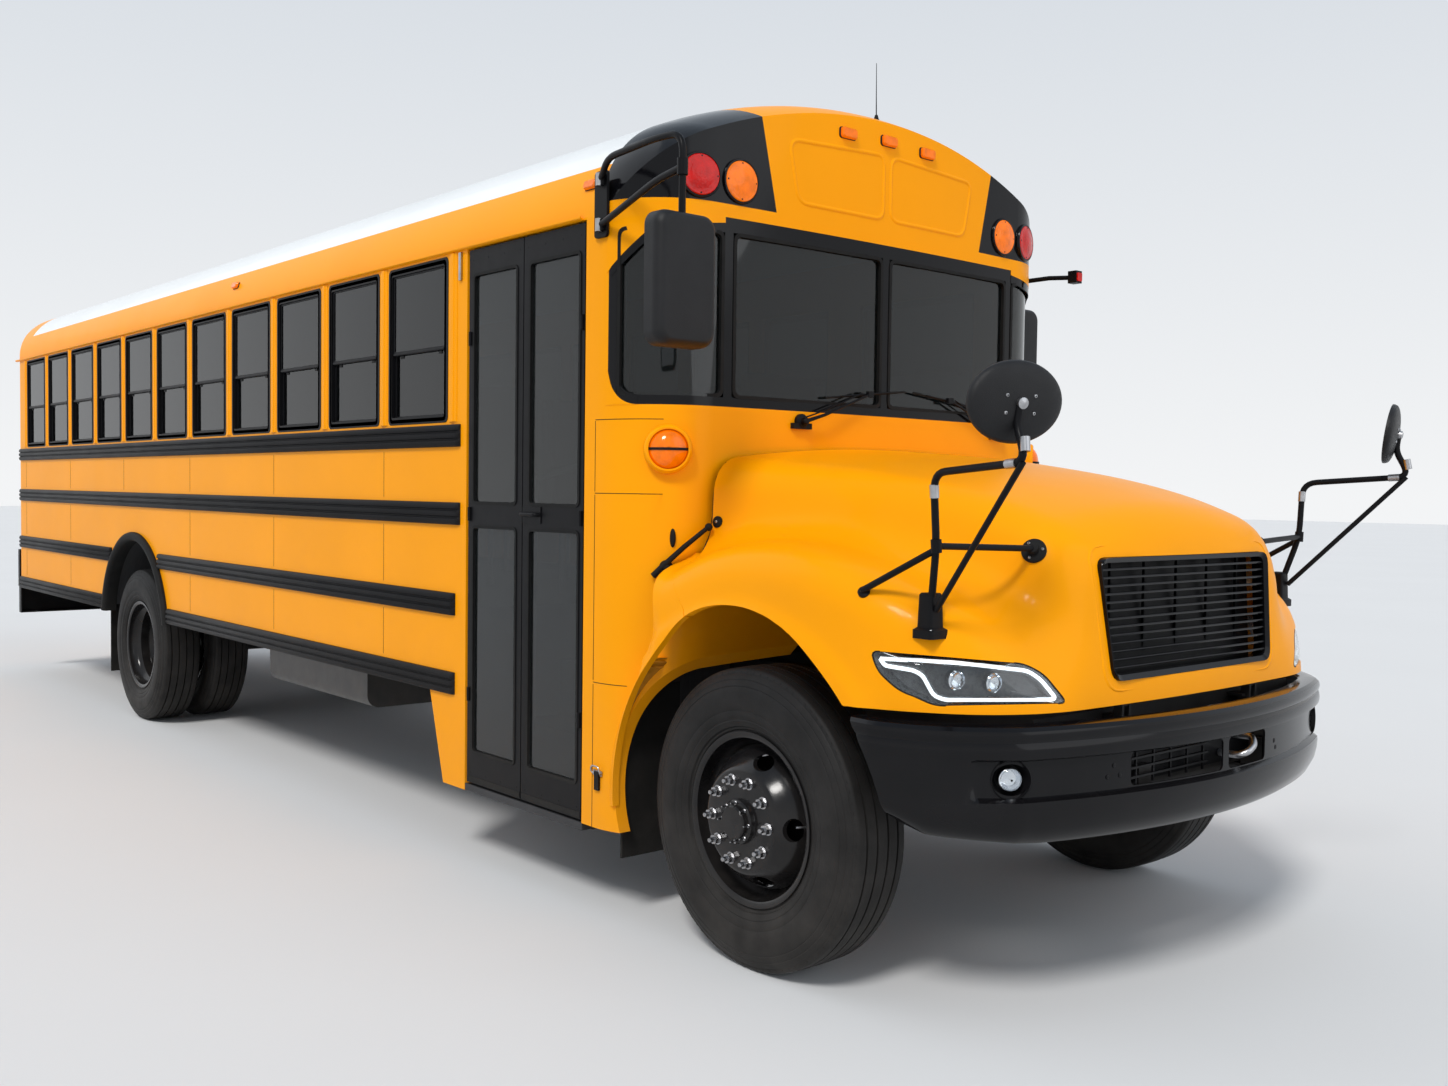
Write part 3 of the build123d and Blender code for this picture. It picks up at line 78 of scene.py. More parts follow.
def joined(tree, operation, a, b, clamp=False):
    """The sum or product of two sockets."""
    made = new_node(tree, "Math")
    made.operation, made.use_clamp = operation, clamp
    tree.links.new(a, made.inputs[0])
    tree.links.new(b, made.inputs[1])
    return made.outputs["Value"]


def two_colors(tree, fac, places, colors):
    """Two colours along a socket's value."""
    made = new_node(tree, "ValToRGB")
    for k in (0, 1):
        made.color_ramp.elements[k].position = places[k]
        made.color_ramp.elements[k].color = (*colors[k], 1)
    tree.links.new(fac, made.inputs["Fac"])
    return made.outputs["Color"]


def material(name, color, rough=0.5, metal=0.0, coat=0.0, vary=0.06, scale=6.0, bump=0.02, bump_scale=60.0,
             dust=0.0, rough_vary=0.08, stretch=(1, 1, 1), spec=0.5, transmission=0.0, emission=None, glow=0.0,
             weave=0.0, sheen=0.0):
    """A surface with colour drift, fine relief and, low down, road dust."""
    m = bpy.data.materials.new(name)
    m.use_nodes = True
    t = m.node_tree
    link = t.links.new
    skin = t.nodes["Principled BSDF"].inputs
    for key, value in (("Metallic", metal), ("Coat Weight", coat), ("Coat Roughness", 0.05), ("IOR", 1.45),
                       ("Specular IOR Level", spec), ("Transmission Weight", transmission), ("Sheen Weight", sheen)):
        skin[key].default_value = value

    def noise(source, size, detail):
        made = new_node(t, "TexNoise", Scale=size, Detail=detail)
        link(source, made.inputs["Vector"])
        return made.outputs["Fac"]

    here = new_node(t, "TexCoord").outputs["Object"]
    place = new_node(t, "Mapping", Scale=stretch)
    link(here, place.inputs["Vector"])
    placed = place.outputs["Vector"]
    shades = [[min(c * k, 1) for c in color] for k in (1 - vary, 1 + vary)]
    out = two_colors(t, noise(placed, scale, 5.0), (0.3, 0.7), shades)
    if dust:
        split = new_node(t, "SeparateXYZ")
        link(new_node(t, "NewGeometry").outputs["Position"], split.inputs["Vector"])
        low = new_node(t, "MapRange", From_Min=1.1, From_Max=0.1, To_Max=dust)
        link(split.outputs["Z"], low.inputs["Value"])
        mix = new_node(t, "Mix")
        mix.data_type = "RGBA"
        link(joined(t, "MULTIPLY", low.outputs["Result"], noise(here, 9.0, 8.0)), mix.inputs["Factor"])
        link(out, mix.inputs[6])
        mix.inputs[7].default_value = (0.22, 0.19, 0.16, 1)
        out = mix.outputs[2]
    link(out, skin["Base Color"])
    span = new_node(t, "MapRange", To_Min=max(rough - rough_vary, 0.02), To_Max=min(rough + rough_vary, 1))
    link(noise(placed, scale * 3.1, 6.0), span.inputs["Value"])
    link(span.outputs["Result"], skin["Roughness"])
    relief = noise(placed, bump_scale, 4.0)
    if weave:
        cells = new_node(t, "TexVoronoi", Scale=weave)
        link(here, cells.inputs["Vector"])
        relief = joined(t, "ADD", cells.outputs["Distance"], relief)
    raised = new_node(t, "Bump", Strength=bump, Distance=0.002)
    link(relief, raised.inputs["Height"])
    link(raised.outputs["Normal"], skin["Normal"])
    if emission:
        skin["Emission Color"].default_value = (*emission, 1)
        skin["Emission Strength"].default_value = glow
    return m


yellow = material("body_paint", (0.95, 0.350, 0.0005), 0.36, coat=0.07, spec=0.07, vary=0.035, scale=1.2,
                  bump=0.02, bump_scale=160, dust=0.16, rough_vary=0.05)
# Inner faces of the hood and the fender: the body yellow darkened as painted shade, with road dust low down
shaded_yellow = material("inner_yellow_painted_shade", (0.62, 0.24, 0.01), 0.5, vary=0.06, scale=3, bump=0.05, dust=0.5)
white = material("roof_paint", (0.80, 0.83, 0.84), 0.33, coat=0.3, vary=0.04, scale=1.6, bump=0.02, bump_scale=90)
gloss = material("gloss_black_paint", (0.003, 0.003, 0.004), 0.13, coat=0.04, spec=0.22, vary=0.2, scale=3, bump=0.015,
                 bump_scale=180, dust=0.05, rough_vary=0.04)
black = material("black_trim", (0.005, 0.005, 0.006), 0.40, spec=0.14, vary=0.2, scale=8, bump=0.08,
                 bump_scale=260, dust=0.04)
plastic = material("grained_plastic", (0.010, 0.010, 0.011), 0.44, spec=0.3, vary=0.15, scale=10, bump=0.25,
                   bump_scale=420, weave=500)
rubber = material("black_rubber", (0.007, 0.007, 0.007), 0.66, spec=0.2, vary=0.25, scale=14, bump=0.2,
                  bump_scale=300, dust=0.12)
rail = material("rail_black", (0.008, 0.008, 0.009), 0.5, spec=0.16, vary=0.2, scale=5, bump=0.1, bump_scale=220,
                stretch=(0.3, 1, 1), dust=0.12)
tyre_mat = material("tyre_rubber", (0.008, 0.008, 0.0085), 0.60, spec=0.24, vary=0.3, scale=9, bump=0.35,
                    bump_scale=180, dust=0.16)
rim_mat = material("wheel_paint", (0.005, 0.005, 0.006), 0.2, coat=0.08, spec=0.3, vary=0.25, scale=12, bump=0.03,
                   bump_scale=140, dust=0.12)
steel = material("bright_steel", (0.42, 0.42, 0.43), 0.32, metal=1.0, vary=0.15, scale=30, bump=0.05, bump_scale=400)
nut_mat = material("nut_steel", (0.36, 0.36, 0.37), 0.26, metal=1.0, vary=0.3, scale=50, bump=0.1, bump_scale=500)
chassis = material("chassis_paint", (0.010, 0.010, 0.011), 0.5, spec=0.3, vary=0.3, scale=5, bump=0.12,
                   bump_scale=80, dust=0.5)
iron = material("engine_iron", (0.07, 0.075, 0.08), 0.6, metal=0.5, vary=0.3, scale=7, bump=0.3, bump_scale=90,
                dust=0.3)
pipe_mat = material("exhaust_steel", (0.20, 0.17, 0.14), 0.5, metal=0.9, vary=0.35, scale=8, bump=0.15, dust=0.4)
tank_mat = material("tank_paint", (0.02, 0.021, 0.022), 0.4, vary=0.25, scale=6, bump=0.08, dust=0.5)
# Window glass: a real tint, made near black so that it also paints the shade of the interior behind the panes
glass = material("tinted_glass", (0.018, 0.022, 0.025), 0.03, vary=0.05, scale=2, bump=0.004, bump_scale=3,
                 rough_vary=0.015, transmission=0.92, spec=0.30)
shield = material("windshield_glass", (0.085, 0.10, 0.10), 0.02, vary=0.03, scale=2, bump=0.003, bump_scale=3,
                  rough_vary=0.01, transmission=0.96, spec=0.28)
door_glass_mat = material("door_glass", (0.12, 0.135, 0.14), 0.025, vary=0.04, scale=2, bump=0.004, bump_scale=4,
                          rough_vary=0.012, transmission=0.94, spec=0.28)
lens_clear = material("clear_lens", (0.93, 0.95, 0.96), 0.03, vary=0.02, scale=20, bump=0.01, rough_vary=0.01,
                      transmission=1.0)
red_lens = material("red_lens", (0.42, 0.003, 0.002), 0.12, coat=0.15, spec=0.3, vary=0.25, scale=26, bump=0.35,
                    bump_scale=70, weave=95, emission=(0.9, 0.01, 0.0), glow=0.10)
amber_lens = material("amber_lens", (0.82, 0.16, 0.0), 0.12, coat=0.15, spec=0.3, vary=0.2, scale=26, bump=0.35,
                      bump_scale=70, weave=95, emission=(1.0, 0.22, 0.0), glow=0.14)
led = material("led_strip", (0.9, 0.95, 1.0), 0.3, vary=0.02, scale=40, bump=0.02, emission=(0.9, 0.97, 1.0), glow=1.1)
chrome = material("reflector", (0.75, 0.77, 0.8), 0.08, metal=1.0, vary=0.05, scale=20, bump=0.02)
# Headlamp housing: its own dark grey, lightened and tinted blue as painted reflection standing in for a chrome interior
lamp_in = material("lamp_housing", (0.11, 0.12, 0.13), 0.28, vary=0.2, scale=30, bump=0.1, bump_scale=200)
vinyl = material("bench_vinyl", (0.016, 0.028, 0.058), 0.42, vary=0.14, scale=5, bump=0.35, bump_scale=140, weave=260,
                 sheen=0.1)
floor_mat = material("ribbed_floor", (0.03, 0.03, 0.032), 0.6, vary=0.2, scale=7, bump=0.3, bump_scale=60,
                     stretch=(1, 12, 1))
dash_mat = material("dash_plastic", (0.022, 0.022, 0.024), 0.55, vary=0.15, scale=12, bump=0.3, bump_scale=320)
sign_mat = material("sign_red", (0.50, 0.008, 0.010), 0.3, coat=0.3, vary=0.06, scale=9, bump=0.05, bump_scale=300)
sign_white = material("sign_white", (0.82, 0.82, 0.80), 0.3, vary=0.04, scale=9, bump=0.05, bump_scale=300)
mirror_glass = material("mirror_glass", (0.80, 0.82, 0.84), 0.02, metal=1.0, vary=0.02, scale=4, bump=0.002,
                        rough_vary=0.01)

plain_nodes = (
    (white, "roof"), (glass, "fixed_glass emergency_glass"), (sign_mat, "stop_arm"), (rail, "rub_rails"),
    (yellow, "roof_coves front_cap side_walls rear_wall cowl emergency_door hood"),
    (gloss, "cap_lamp_panels windshield_frame grille front_bumper"),
    (black, "window_frames door_leaf_rear door_leaf_front hood_mirrors rear_bumper antenna"),
    (door_glass_mat, "door_glass_rear door_glass_front"), (floor_mat, "floor wheel_boxes"),
    (rubber, "arch_rubbers mud_flaps"), (lens_clear, "headlamps"), (red_lens, "red_lamps"),
    (amber_lens, "amber_lamps"), (plastic, "side_mirrors"), (vinyl, "seats"), (dash_mat, "dashboard"),
    (chassis, "frame_rails front_axle rear_axle knuckle_left knuckle_right"), (iron, "powertrain"),
    (tank_mat, "fuel_tank"), (pipe_mat, "exhaust"),
    (rim_mat, "wheel_front_left wheel_front_right wheels_rear_left wheels_rear_right"),
    (tyre_mat, "tyre_front_left tyre_front_right tyres_rear_left tyres_rear_right"),
)
for m, names in plain_nodes:
    for name in names.split():
        nodes[name].data.materials.clear()
        nodes[name].data.materials.append(m)


# Making shapes
class Shape:
    """Gathers parts of one piece; each part has one of the piece's materials."""

    def __init__(self, *mats):
        self.mats, self.v, self.f, self.m = list(mats), [], [], []

    def add(self, verts, faces, mat=0):
        """Points and faces of one part."""
        base = len(self.v)
        self.v += [tuple(p) for p in verts]
        self.f += [tuple(base + i for i in f) for f in faces]
        self.m += [mat] * len(faces)

    def grid(self, rows, mat=0, close_u=False, close_v=False, flip=False):
        """Rows of points joined into quads."""
        nu, nv = len(rows), len(rows[0])
        faces = []
        for i in range(nu if close_u else nu - 1):
            for j in range(nv if close_v else nv - 1):
                a, b = i, (i + 1) % nu
                c, d = j, (j + 1) % nv
                q = (a * nv + c, b * nv + c, b * nv + d, a * nv + d)
                faces.append(q[::-1] if flip else q)
        self.add([p for r in rows for p in r], faces, mat)

    def box(self, x0, x1, y0, y1, z0, z1, mat=0):
        """A block along the axes."""
        (x0, x1), (y0, y1), (z0, z1) = sorted((x0, x1)), sorted((y0, y1)), sorted((z0, z1))
        v = [(x, y, z) for x in (x0, x1) for y in (y0, y1) for z in (z0, z1)]
        f = [(0, 1, 3, 2), (4, 6, 7, 5), (0, 4, 5, 1), (2, 3, 7, 6), (0, 2, 6, 4), (1, 5, 7, 3)]
        self.add(v, f, mat)

    def ends(self, rows, mat=0):
        """Flat faces on the first and last row."""
        for row in (rows[0], rows[-1]):
            self.add(row, [tuple(range(len(row)))], mat)

    def slab(self, front, back, mat=0, mat_back=0):
        """Two grids of one size joined along all their edges."""
        self.grid(front, mat)
        self.grid(back, mat_back, flip=True)
        for k in (0, -1):
            self.grid([[row[k] for row in front], [row[k] for row in back]], mat, flip=k == 0)
            self.grid([front[k], back[k]], mat, flip=k == 0)

    def prism(self, front, back, mat=0):
        """Two outlines of the same count joined into a closed solid."""
        k = len(front)
        f = [tuple(range(k))[::-1], tuple(range(k, 2 * k))]
        f += [(i, (i + 1) % k, k + (i + 1) % k, k + i) for i in range(k)]
        self.add(list(front) + list(back), f, mat)

    def ring(self, outer, inner, offset, mat=0):
        """A flat frame between two outlines, carried along offset."""
        k = len(outer)
        o = Vector(offset)
        rows = [outer, inner, [Vector(p) + o for p in inner], [Vector(p) + o for p in outer]]
        self.grid([[tuple(p) for p in r] for r in rows], mat, close_u=True, close_v=True)

    def lathe(self, profile, centre, axis=(0, 1, 0), seg=64, mat=0, closed=True):
        """Radius and height pairs turned round an axis."""
        a = Vector(axis).normalized()
        u = a.orthogonal().normalized()
        w = a.cross(u)
        c = Vector(centre)
        rays = [u * math.cos(t) + w * math.sin(t) for t in turns(seg)]
        rows = [[c + d * r + a * h for r, h in profile] for d in rays]
        self.grid(rows, mat, close_u=True, close_v=closed)

    def rod(self, centre, axis, radius, half_length, seg=12, mat=0):
        """A short round bar about its middle."""
        self.lathe([(radius, -half_length), (radius, half_length), (0.0001, half_length), (0.0001, -half_length)],
                   centre, axis, seg, mat)

    def stud(self, centre, normal, radius, height, seg=8, rings=2, mat=0, back=0.002):
        """A small domed head."""
        self.dome(centre, normal, radius, height, seg, mat, rings, back)

    def tube(self, points, radius, seg=12, mat=0, bend=0.0, caps=True):
        """A round bar along points, its corners bent to a radius."""
        path = rounded(points, bend) if bend else [Vector(p) for p in points]
        rows, up = [], None
        for i, p in enumerate(path):
            d = (path[min(i + 1, len(path) - 1)] - path[max(i - 1, 0)]).normalized()
            if up is None:
                up = d.orthogonal().normalized()
            up = (up - d * up.dot(d)).normalized()
            side = d.cross(up)
            r = radius(i / (len(path) - 1)) if callable(radius) else radius
            rows.append([p + (up * math.cos(t) + side * math.sin(t)) * r for t in turns(seg)])
        self.grid(rows, mat, close_v=True)
        if caps:
            n = len(self.v)
            self.f.append(tuple(range(n - seg, n)))
            self.f.append(tuple(range(n - len(rows) * seg, n - len(rows) * seg + seg))[::-1])
            self.m += [mat, mat]

    def ball(self, centre, radius, seg=16, mat=0, squash=(1, 1, 1)):
        """A ball, scaled along each axis by squash."""
        prof = [(math.sin(math.pi * i / 10), -math.cos(math.pi * i / 10)) for i in range(11)]
        rows = []
        for t in turns(seg):
            rows.append([(centre[0] + radius * r * math.cos(t) * squash[0],
                          centre[1] + radius * r * math.sin(t) * squash[1],
                          centre[2] + radius * h * squash[2]) for r, h in prof])
        self.grid(rows, mat, close_u=True)

    def dome(self, centre, normal, radius, height, seg=32, mat=0, rings=7, back=0.012):
        """A round lens bulging along normal."""
        prof = [(radius, -back), (radius, 0)]
        prof += [(radius * math.cos(math.pi / 2 * i / rings), height * math.sin(math.pi / 2 * i / rings))
                 for i in range(rings + 1)]
        prof += [(0.0001, -back)]
        self.lathe(prof, centre, normal, seg, mat, closed=True)

    def obj(self, name, body, angle=32, bevel=0.0, segments=2, replaces=(), slot=None):
        """The piece in the scene, riding on a body."""
        me = bpy.data.meshes.new(name)
        me.from_pydata(self.v, [], self.f)
        for m in self.mats:
            me.materials.append(m)
        me.polygons.foreach_set("material_index", self.m)
        bm = bmesh.new()
        bm.from_mesh(me)
        bmesh.ops.remove_doubles(bm, verts=bm.verts, dist=1e-5)
        bmesh.ops.recalc_face_normals(bm, faces=bm.faces)
        bm.to_mesh(me)
        bm.free()
        me.shade_smooth()
        me.set_sharp_from_angle(angle=math.radians(angle))
        o = bpy.data.objects.new(name, me)
        bpy.context.scene.collection.objects.link(o)
        if bevel:
            b = o.modifiers.new("edges", "BEVEL")
            b.width, b.segments, b.limit_method, b.angle_limit = bevel, segments, "ANGLE", math.radians(38)
            b.harden_normals = True
        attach(o, body)
        if replaces:
            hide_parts(*replaces)
        return o


def turns(count):
    """Angles evenly round a circle."""
    return [2 * math.pi * i / count for i in range(count)]


def rounded(points, radius, steps=6):
    """A path with its inner corners turned at a radius."""
    pts = [Vector(p) for p in points]
    out = [pts[0]]
    for a, b, c in zip(pts, pts[1:], pts[2:]):
        u, w = (a - b), (c - b)
        cut = min(radius, u.length * 0.45, w.length * 0.45)
        p, q = b + u.normalized() * cut, b + w.normalized() * cut
        for i in range(steps + 1):
            t = i / steps
            out.append(p * (1 - t) ** 2 + b * 2 * t * (1 - t) + q * t ** 2)
    out.append(pts[-1])
    return out


def rrect(a0, a1, b0, b1, r, n=5):
    """Corners of a rounded rectangle in two numbers, in turn."""
    out = []
    corners = ((a1 - r, b1 - r, 0), (a0 + r, b1 - r, 90), (a0 + r, b0 + r, 180), (a1 - r, b0 + r, 270))
    for ca, cb, t0 in corners:
        for i in range(n + 1):
            t = math.radians(t0 + 90 * i / n)
            out.append((ca + r * math.cos(t), cb + r * math.sin(t)))
    return out


def tree(node):
    """A piece's surface, for rays."""
    me = nodes[node].data
    return BVHTree.FromPolygons([v.co.copy() for v in me.vertices], [tuple(p.vertices) for p in me.polygons])


for name in ("roof", "roof_coves", "front_cap", "cap_lamp_panels", "rear_wall", "cowl", "windshield_frame",
             "fixed_glass", "side_walls", "exhaust", "frame_rails", "fuel_tank", "front_axle", "rear_axle",
             "knuckle_left", "knuckle_right", "dashboard"):
    nodes[name].data.shade_smooth()
    nodes[name].data.set_sharp_from_angle(angle=math.radians(28))

# Camera, solved from the photograph
photo_w, photo_h, focal_px = 1448, 1086, 1344.8544
view_at = Vector((7.6278, -4.2026, 1.6580))
yaw, pitch, roll = (math.radians(a) for a in (139.3347, -2.2506, 0.7587))
ahead = Vector((math.cos(yaw) * math.cos(pitch), math.sin(yaw) * math.cos(pitch), math.sin(pitch)))
right = Vector((math.sin(yaw), -math.cos(yaw), 0))
up = right.cross(ahead)
right, up = right * math.cos(roll) + up * math.sin(roll), up * math.cos(roll) - right * math.sin(roll)
cam_data = bpy.data.cameras.new("camera")
cam_data.sensor_width = 36
cam_data.sensor_fit = "HORIZONTAL"
cam_data.lens = focal_px * cam_data.sensor_width / photo_w
cam_data.clip_end = 500
cam = bpy.data.objects.new("camera", cam_data)
bpy.context.scene.collection.objects.link(cam)
turn = Matrix((right, up, -ahead)).transposed().to_4x4()
turn.translation = view_at
cam.matrix_world = turn
bpy.context.scene.camera = cam

# Light and floor
scene = bpy.context.scene
scene.view_settings.view_transform = "Standard"
world = bpy.data.worlds.new("studio")
scene.world = world
world.use_nodes = True
wt = world.node_tree
wt.nodes.clear()
w_light = new_node(wt, "Background", Color=(0.86, 0.92, 1.0, 1), Strength=0.55)
w_seen = new_node(wt, "Background", Strength=1.0)
w_split = new_node(wt, "SeparateXYZ")
wt.links.new(new_node(wt, "TexCoord").outputs["Generated"], w_split.inputs["Vector"])
wt.links.new(two_colors(wt, w_split.outputs["Z"], (0.0, 0.8), ((0.90, 0.91, 0.92), (0.42, 0.50, 0.60))),
             w_seen.inputs["Color"])
rays = new_node(wt, "LightPath").outputs
direct = joined(wt, "ADD", rays["Is Camera Ray"], rays["Is Glossy Ray"])
direct = joined(wt, "ADD", direct, rays["Is Transmission Ray"], clamp=True)
w_mix = new_node(wt, "MixShader")
wt.links.new(direct, w_mix.inputs["Fac"])
wt.links.new(w_light.outputs["Background"], w_mix.inputs[1])
wt.links.new(w_seen.outputs["Background"], w_mix.inputs[2])
wt.links.new(w_mix.outputs["Shader"], new_node(wt, "OutputWorld").inputs["Surface"])


def sun(name, direction, strength, spread, color=(1, 1, 1)):
    """A distant light shining along direction."""
    d = bpy.data.lights.new(name, "SUN")
    d.energy, d.angle, d.color = strength, math.radians(spread), color
    o = bpy.data.objects.new(name, d)
    scene.collection.objects.link(o)
    o.rotation_mode = "QUATERNION"
    o.rotation_quaternion = Vector(direction).to_track_quat("-Z", "Y")


sun("key", (-0.42, 0.75, -0.95), 2.0, 14, (1.0, 0.975, 0.94))
sun("fill", (-0.9, -0.25, -0.45), 0.55, 50, (0.95, 0.97, 1.0))
sun("back", (0.8, 0.3, -0.6), 0.35, 50)

ground = bpy.data.meshes.new("studio_floor")
ground.from_pydata([(-90, -90, 0), (90, -90, 0), (90, 90, 0), (-90, 90, 0)], [], [(0, 1, 2, 3)])
ground.materials.append(material("floor_plain", (0.70, 0.71, 0.72), 0.8, vary=0.01, scale=0.4, bump=0.02, spec=0.1))
ground_obj = bpy.data.objects.new("studio_floor", ground)
scene.collection.objects.link(ground_obj)
ground_obj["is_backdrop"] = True

# Tyres and wheels
tread_r = 0.525


def tyre_profile():
    """Half of the outside, from bead to the middle of the tread, as (radius, offset)."""
    side = [(0.2905, 0.096), (0.300, 0.105), (0.307, 0.1055), (0.312, 0.111), (0.318, 0.112), (0.322, 0.119),
            (0.340, 0.1275), (0.345, 0.1265), (0.349, 0.1295), (0.372, 0.1350), (0.376, 0.1340), (0.380, 0.1363),
            (0.402, 0.1392), (0.420, 0.1396), (0.440, 0.1382), (0.456, 0.1350), (0.459, 0.1325), (0.463, 0.1337),
            (0.478, 0.1285), (0.482, 0.1255), (0.486, 0.1262), (0.500, 0.1195), (0.5035, 0.1155), (0.507, 0.1150),
            (0.5165, 0.1090), (0.5205, 0.1040), (0.5225, 0.0980)]
    tread, width = [], 0.0042
    for y in (0.072, 0.025):
        r = tread_r - 0.0028 * (y / 0.1) ** 2
        tread += [(r, y + width), (r - 0.0125, y + width * 0.55), (r - 0.0125, y - width * 0.55), (r, y - width)]
    return side + tread + [(tread_r, 0.0)]


def tyre(shape, x, y):
    """One tyre with the small ribs on its shoulders."""
    half_prof = tyre_profile()
    prof = half_prof + [(r, -a) for r, a in half_prof[-2::-1]]
    prof += [(0.2905, -0.078), (0.400, -0.112), (0.490, -0.092), (0.490, 0.092), (0.400, 0.112), (0.2905, 0.078)]
    shape.lathe(prof, (x, y, axle_z), seg=128)
    for k in range(96):
        t = 2 * math.pi * (k + 0.5) / 96
        for s in (-1, 1):
            c, n = math.cos(t), math.sin(t)
            p = []
            for r, a in ((0.5062, 0.1160), (0.5125, 0.1132), (0.5125, 0.1105), (0.5062, 0.1120)):
                for e in (-0.0045, 0.0045):
                    p.append((x + c * r - n * e, y + s * a, axle_z + n * r + c * e))
            shape.add(p, [(0, 1, 3, 2), (2, 3, 5, 4), (4, 5, 7, 6), (0, 2, 4, 6), (1, 7, 5, 3)])


def hexnut(shape, x, y, z, out, radius, height, mat):
    """A nut on its washer, with the stud's end."""

    def corners(r, count, at):
        return [(x + r * math.cos(t + 0.26), at, z + r * math.sin(t + 0.26)) for t in turns(count)]

    for r, h0, h1, count in ((radius * 1.22, 0.0, 0.003, 16), (radius, 0.003, height, 6)):
        shape.prism(corners(r, count, y + out * h0), corners(r, count, y + out * h1), mat)
    shape.lathe([(radius * 0.52, height), (radius * 0.52, height + 0.016), (radius * 0.42, height + 0.019),
                 (0.0001, height + 0.019)], (x, y, z), (0, out, 0), 10, mat, closed=False)


def nut_ring(shape, x, y, out, count, reach, radius, height):
    """Nuts evenly round a wheel's middle."""
    for t in turns(count):
        hexnut(shape, x + reach * math.cos(t), y, axle_z + reach * math.sin(t), out, radius, height, 1)


def wheel_rim(shape, x, y):
    """The rim that holds one tyre."""
    rim = [(0.2895, -0.114), (0.303, -0.114), (0.3035, -0.108), (0.300, -0.103), (0.289, -0.097), (0.284, -0.040),
           (0.262, -0.025), (0.262, 0.025), (0.284, 0.040), (0.289, 0.097), (0.300, 0.103), (0.3035, 0.108),
           (0.303, 0.114), (0.297, 0.1145), (0.288, 0.109), (0.283, 0.100), (0.2795, 0.060), (0.268, 0.046),
           (0.252, 0.033), (0.252, -0.033), (0.268, -0.046), (0.2795, -0.060), (0.281, -0.108)]
    shape.lathe(rim, (x, y, axle_z), seg=96)


def wheel_disc(name, x, y, d, body):
    """A pressed disc with oval hand holes, bulging towards d."""
    shape = Shape(rim_mat)
    disc = [(0.2525, 0.020), (0.2535, 0.032), (0.249, 0.045), (0.240, 0.066), (0.226, 0.092), (0.211, 0.112),
            (0.197, 0.127), (0.186, 0.140), (0.176, 0.148), (0.166, 0.150), (0.061, 0.150), (0.061, 0.137),
            (0.166, 0.137), (0.172, 0.135), (0.181, 0.126), (0.205, 0.100), (0.222, 0.076), (0.234, 0.050),
            (0.243, 0.022)]
    shape.lathe(disc, (x, y, axle_z), (0, d, 0), seg=96)
    o = shape.obj(name, body, 40)
    hand_holes(o, x, y, 5, d)
    return o


def hand_holes(o, x, y, count, out):
    """Oval openings through a disc, all round."""
    cutter = Shape(rim_mat)
    for start in turns(count):
        t = start + 0.3
        c = Vector((x + 0.2145 * math.sin(t), 0, axle_z + 0.2145 * math.cos(t)))
        u, w = Vector((math.cos(t), 0, -math.sin(t))), Vector((math.sin(t), 0, math.cos(t)))
        oval = [c + u * 0.040 * math.cos(a) + w * 0.0215 * math.sin(a) for a in turns(24)]
        cutter.prism(*([tuple(p + Vector((0, y + d * out, 0))) for p in oval] for d in (0.035, 0.165)))
    cut(o, cutter)


def cut(o, cutter):
    """Takes a closed shape out of a piece."""
    me = bpy.data.meshes.new("cutter")
    me.from_pydata(cutter.v, [], cutter.f)
    bm = bmesh.new()
    bm.from_mesh(me)
    bmesh.ops.remove_doubles(bm, verts=bm.verts, dist=1e-6)
    bmesh.ops.recalc_face_normals(bm, faces=bm.faces)
    bm.to_mesh(me)
    bm.free()
    c = bpy.data.objects.new("cutter", me)
    scene.collection.objects.link(c)
    b = o.modifiers.new("cut", "BOOLEAN")
    b.operation, b.object, b.solver = "DIFFERENCE", c, "EXACT"
    bpy.context.view_layer.update()
    dg = bpy.context.evaluated_depsgraph_get()
    result = bpy.data.meshes.new_from_object(o.evaluated_get(dg))
    o.modifiers.remove(b)
    o.data = result
    bpy.data.objects.remove(c)
    result.set_sharp_from_angle(angle=math.radians(32))


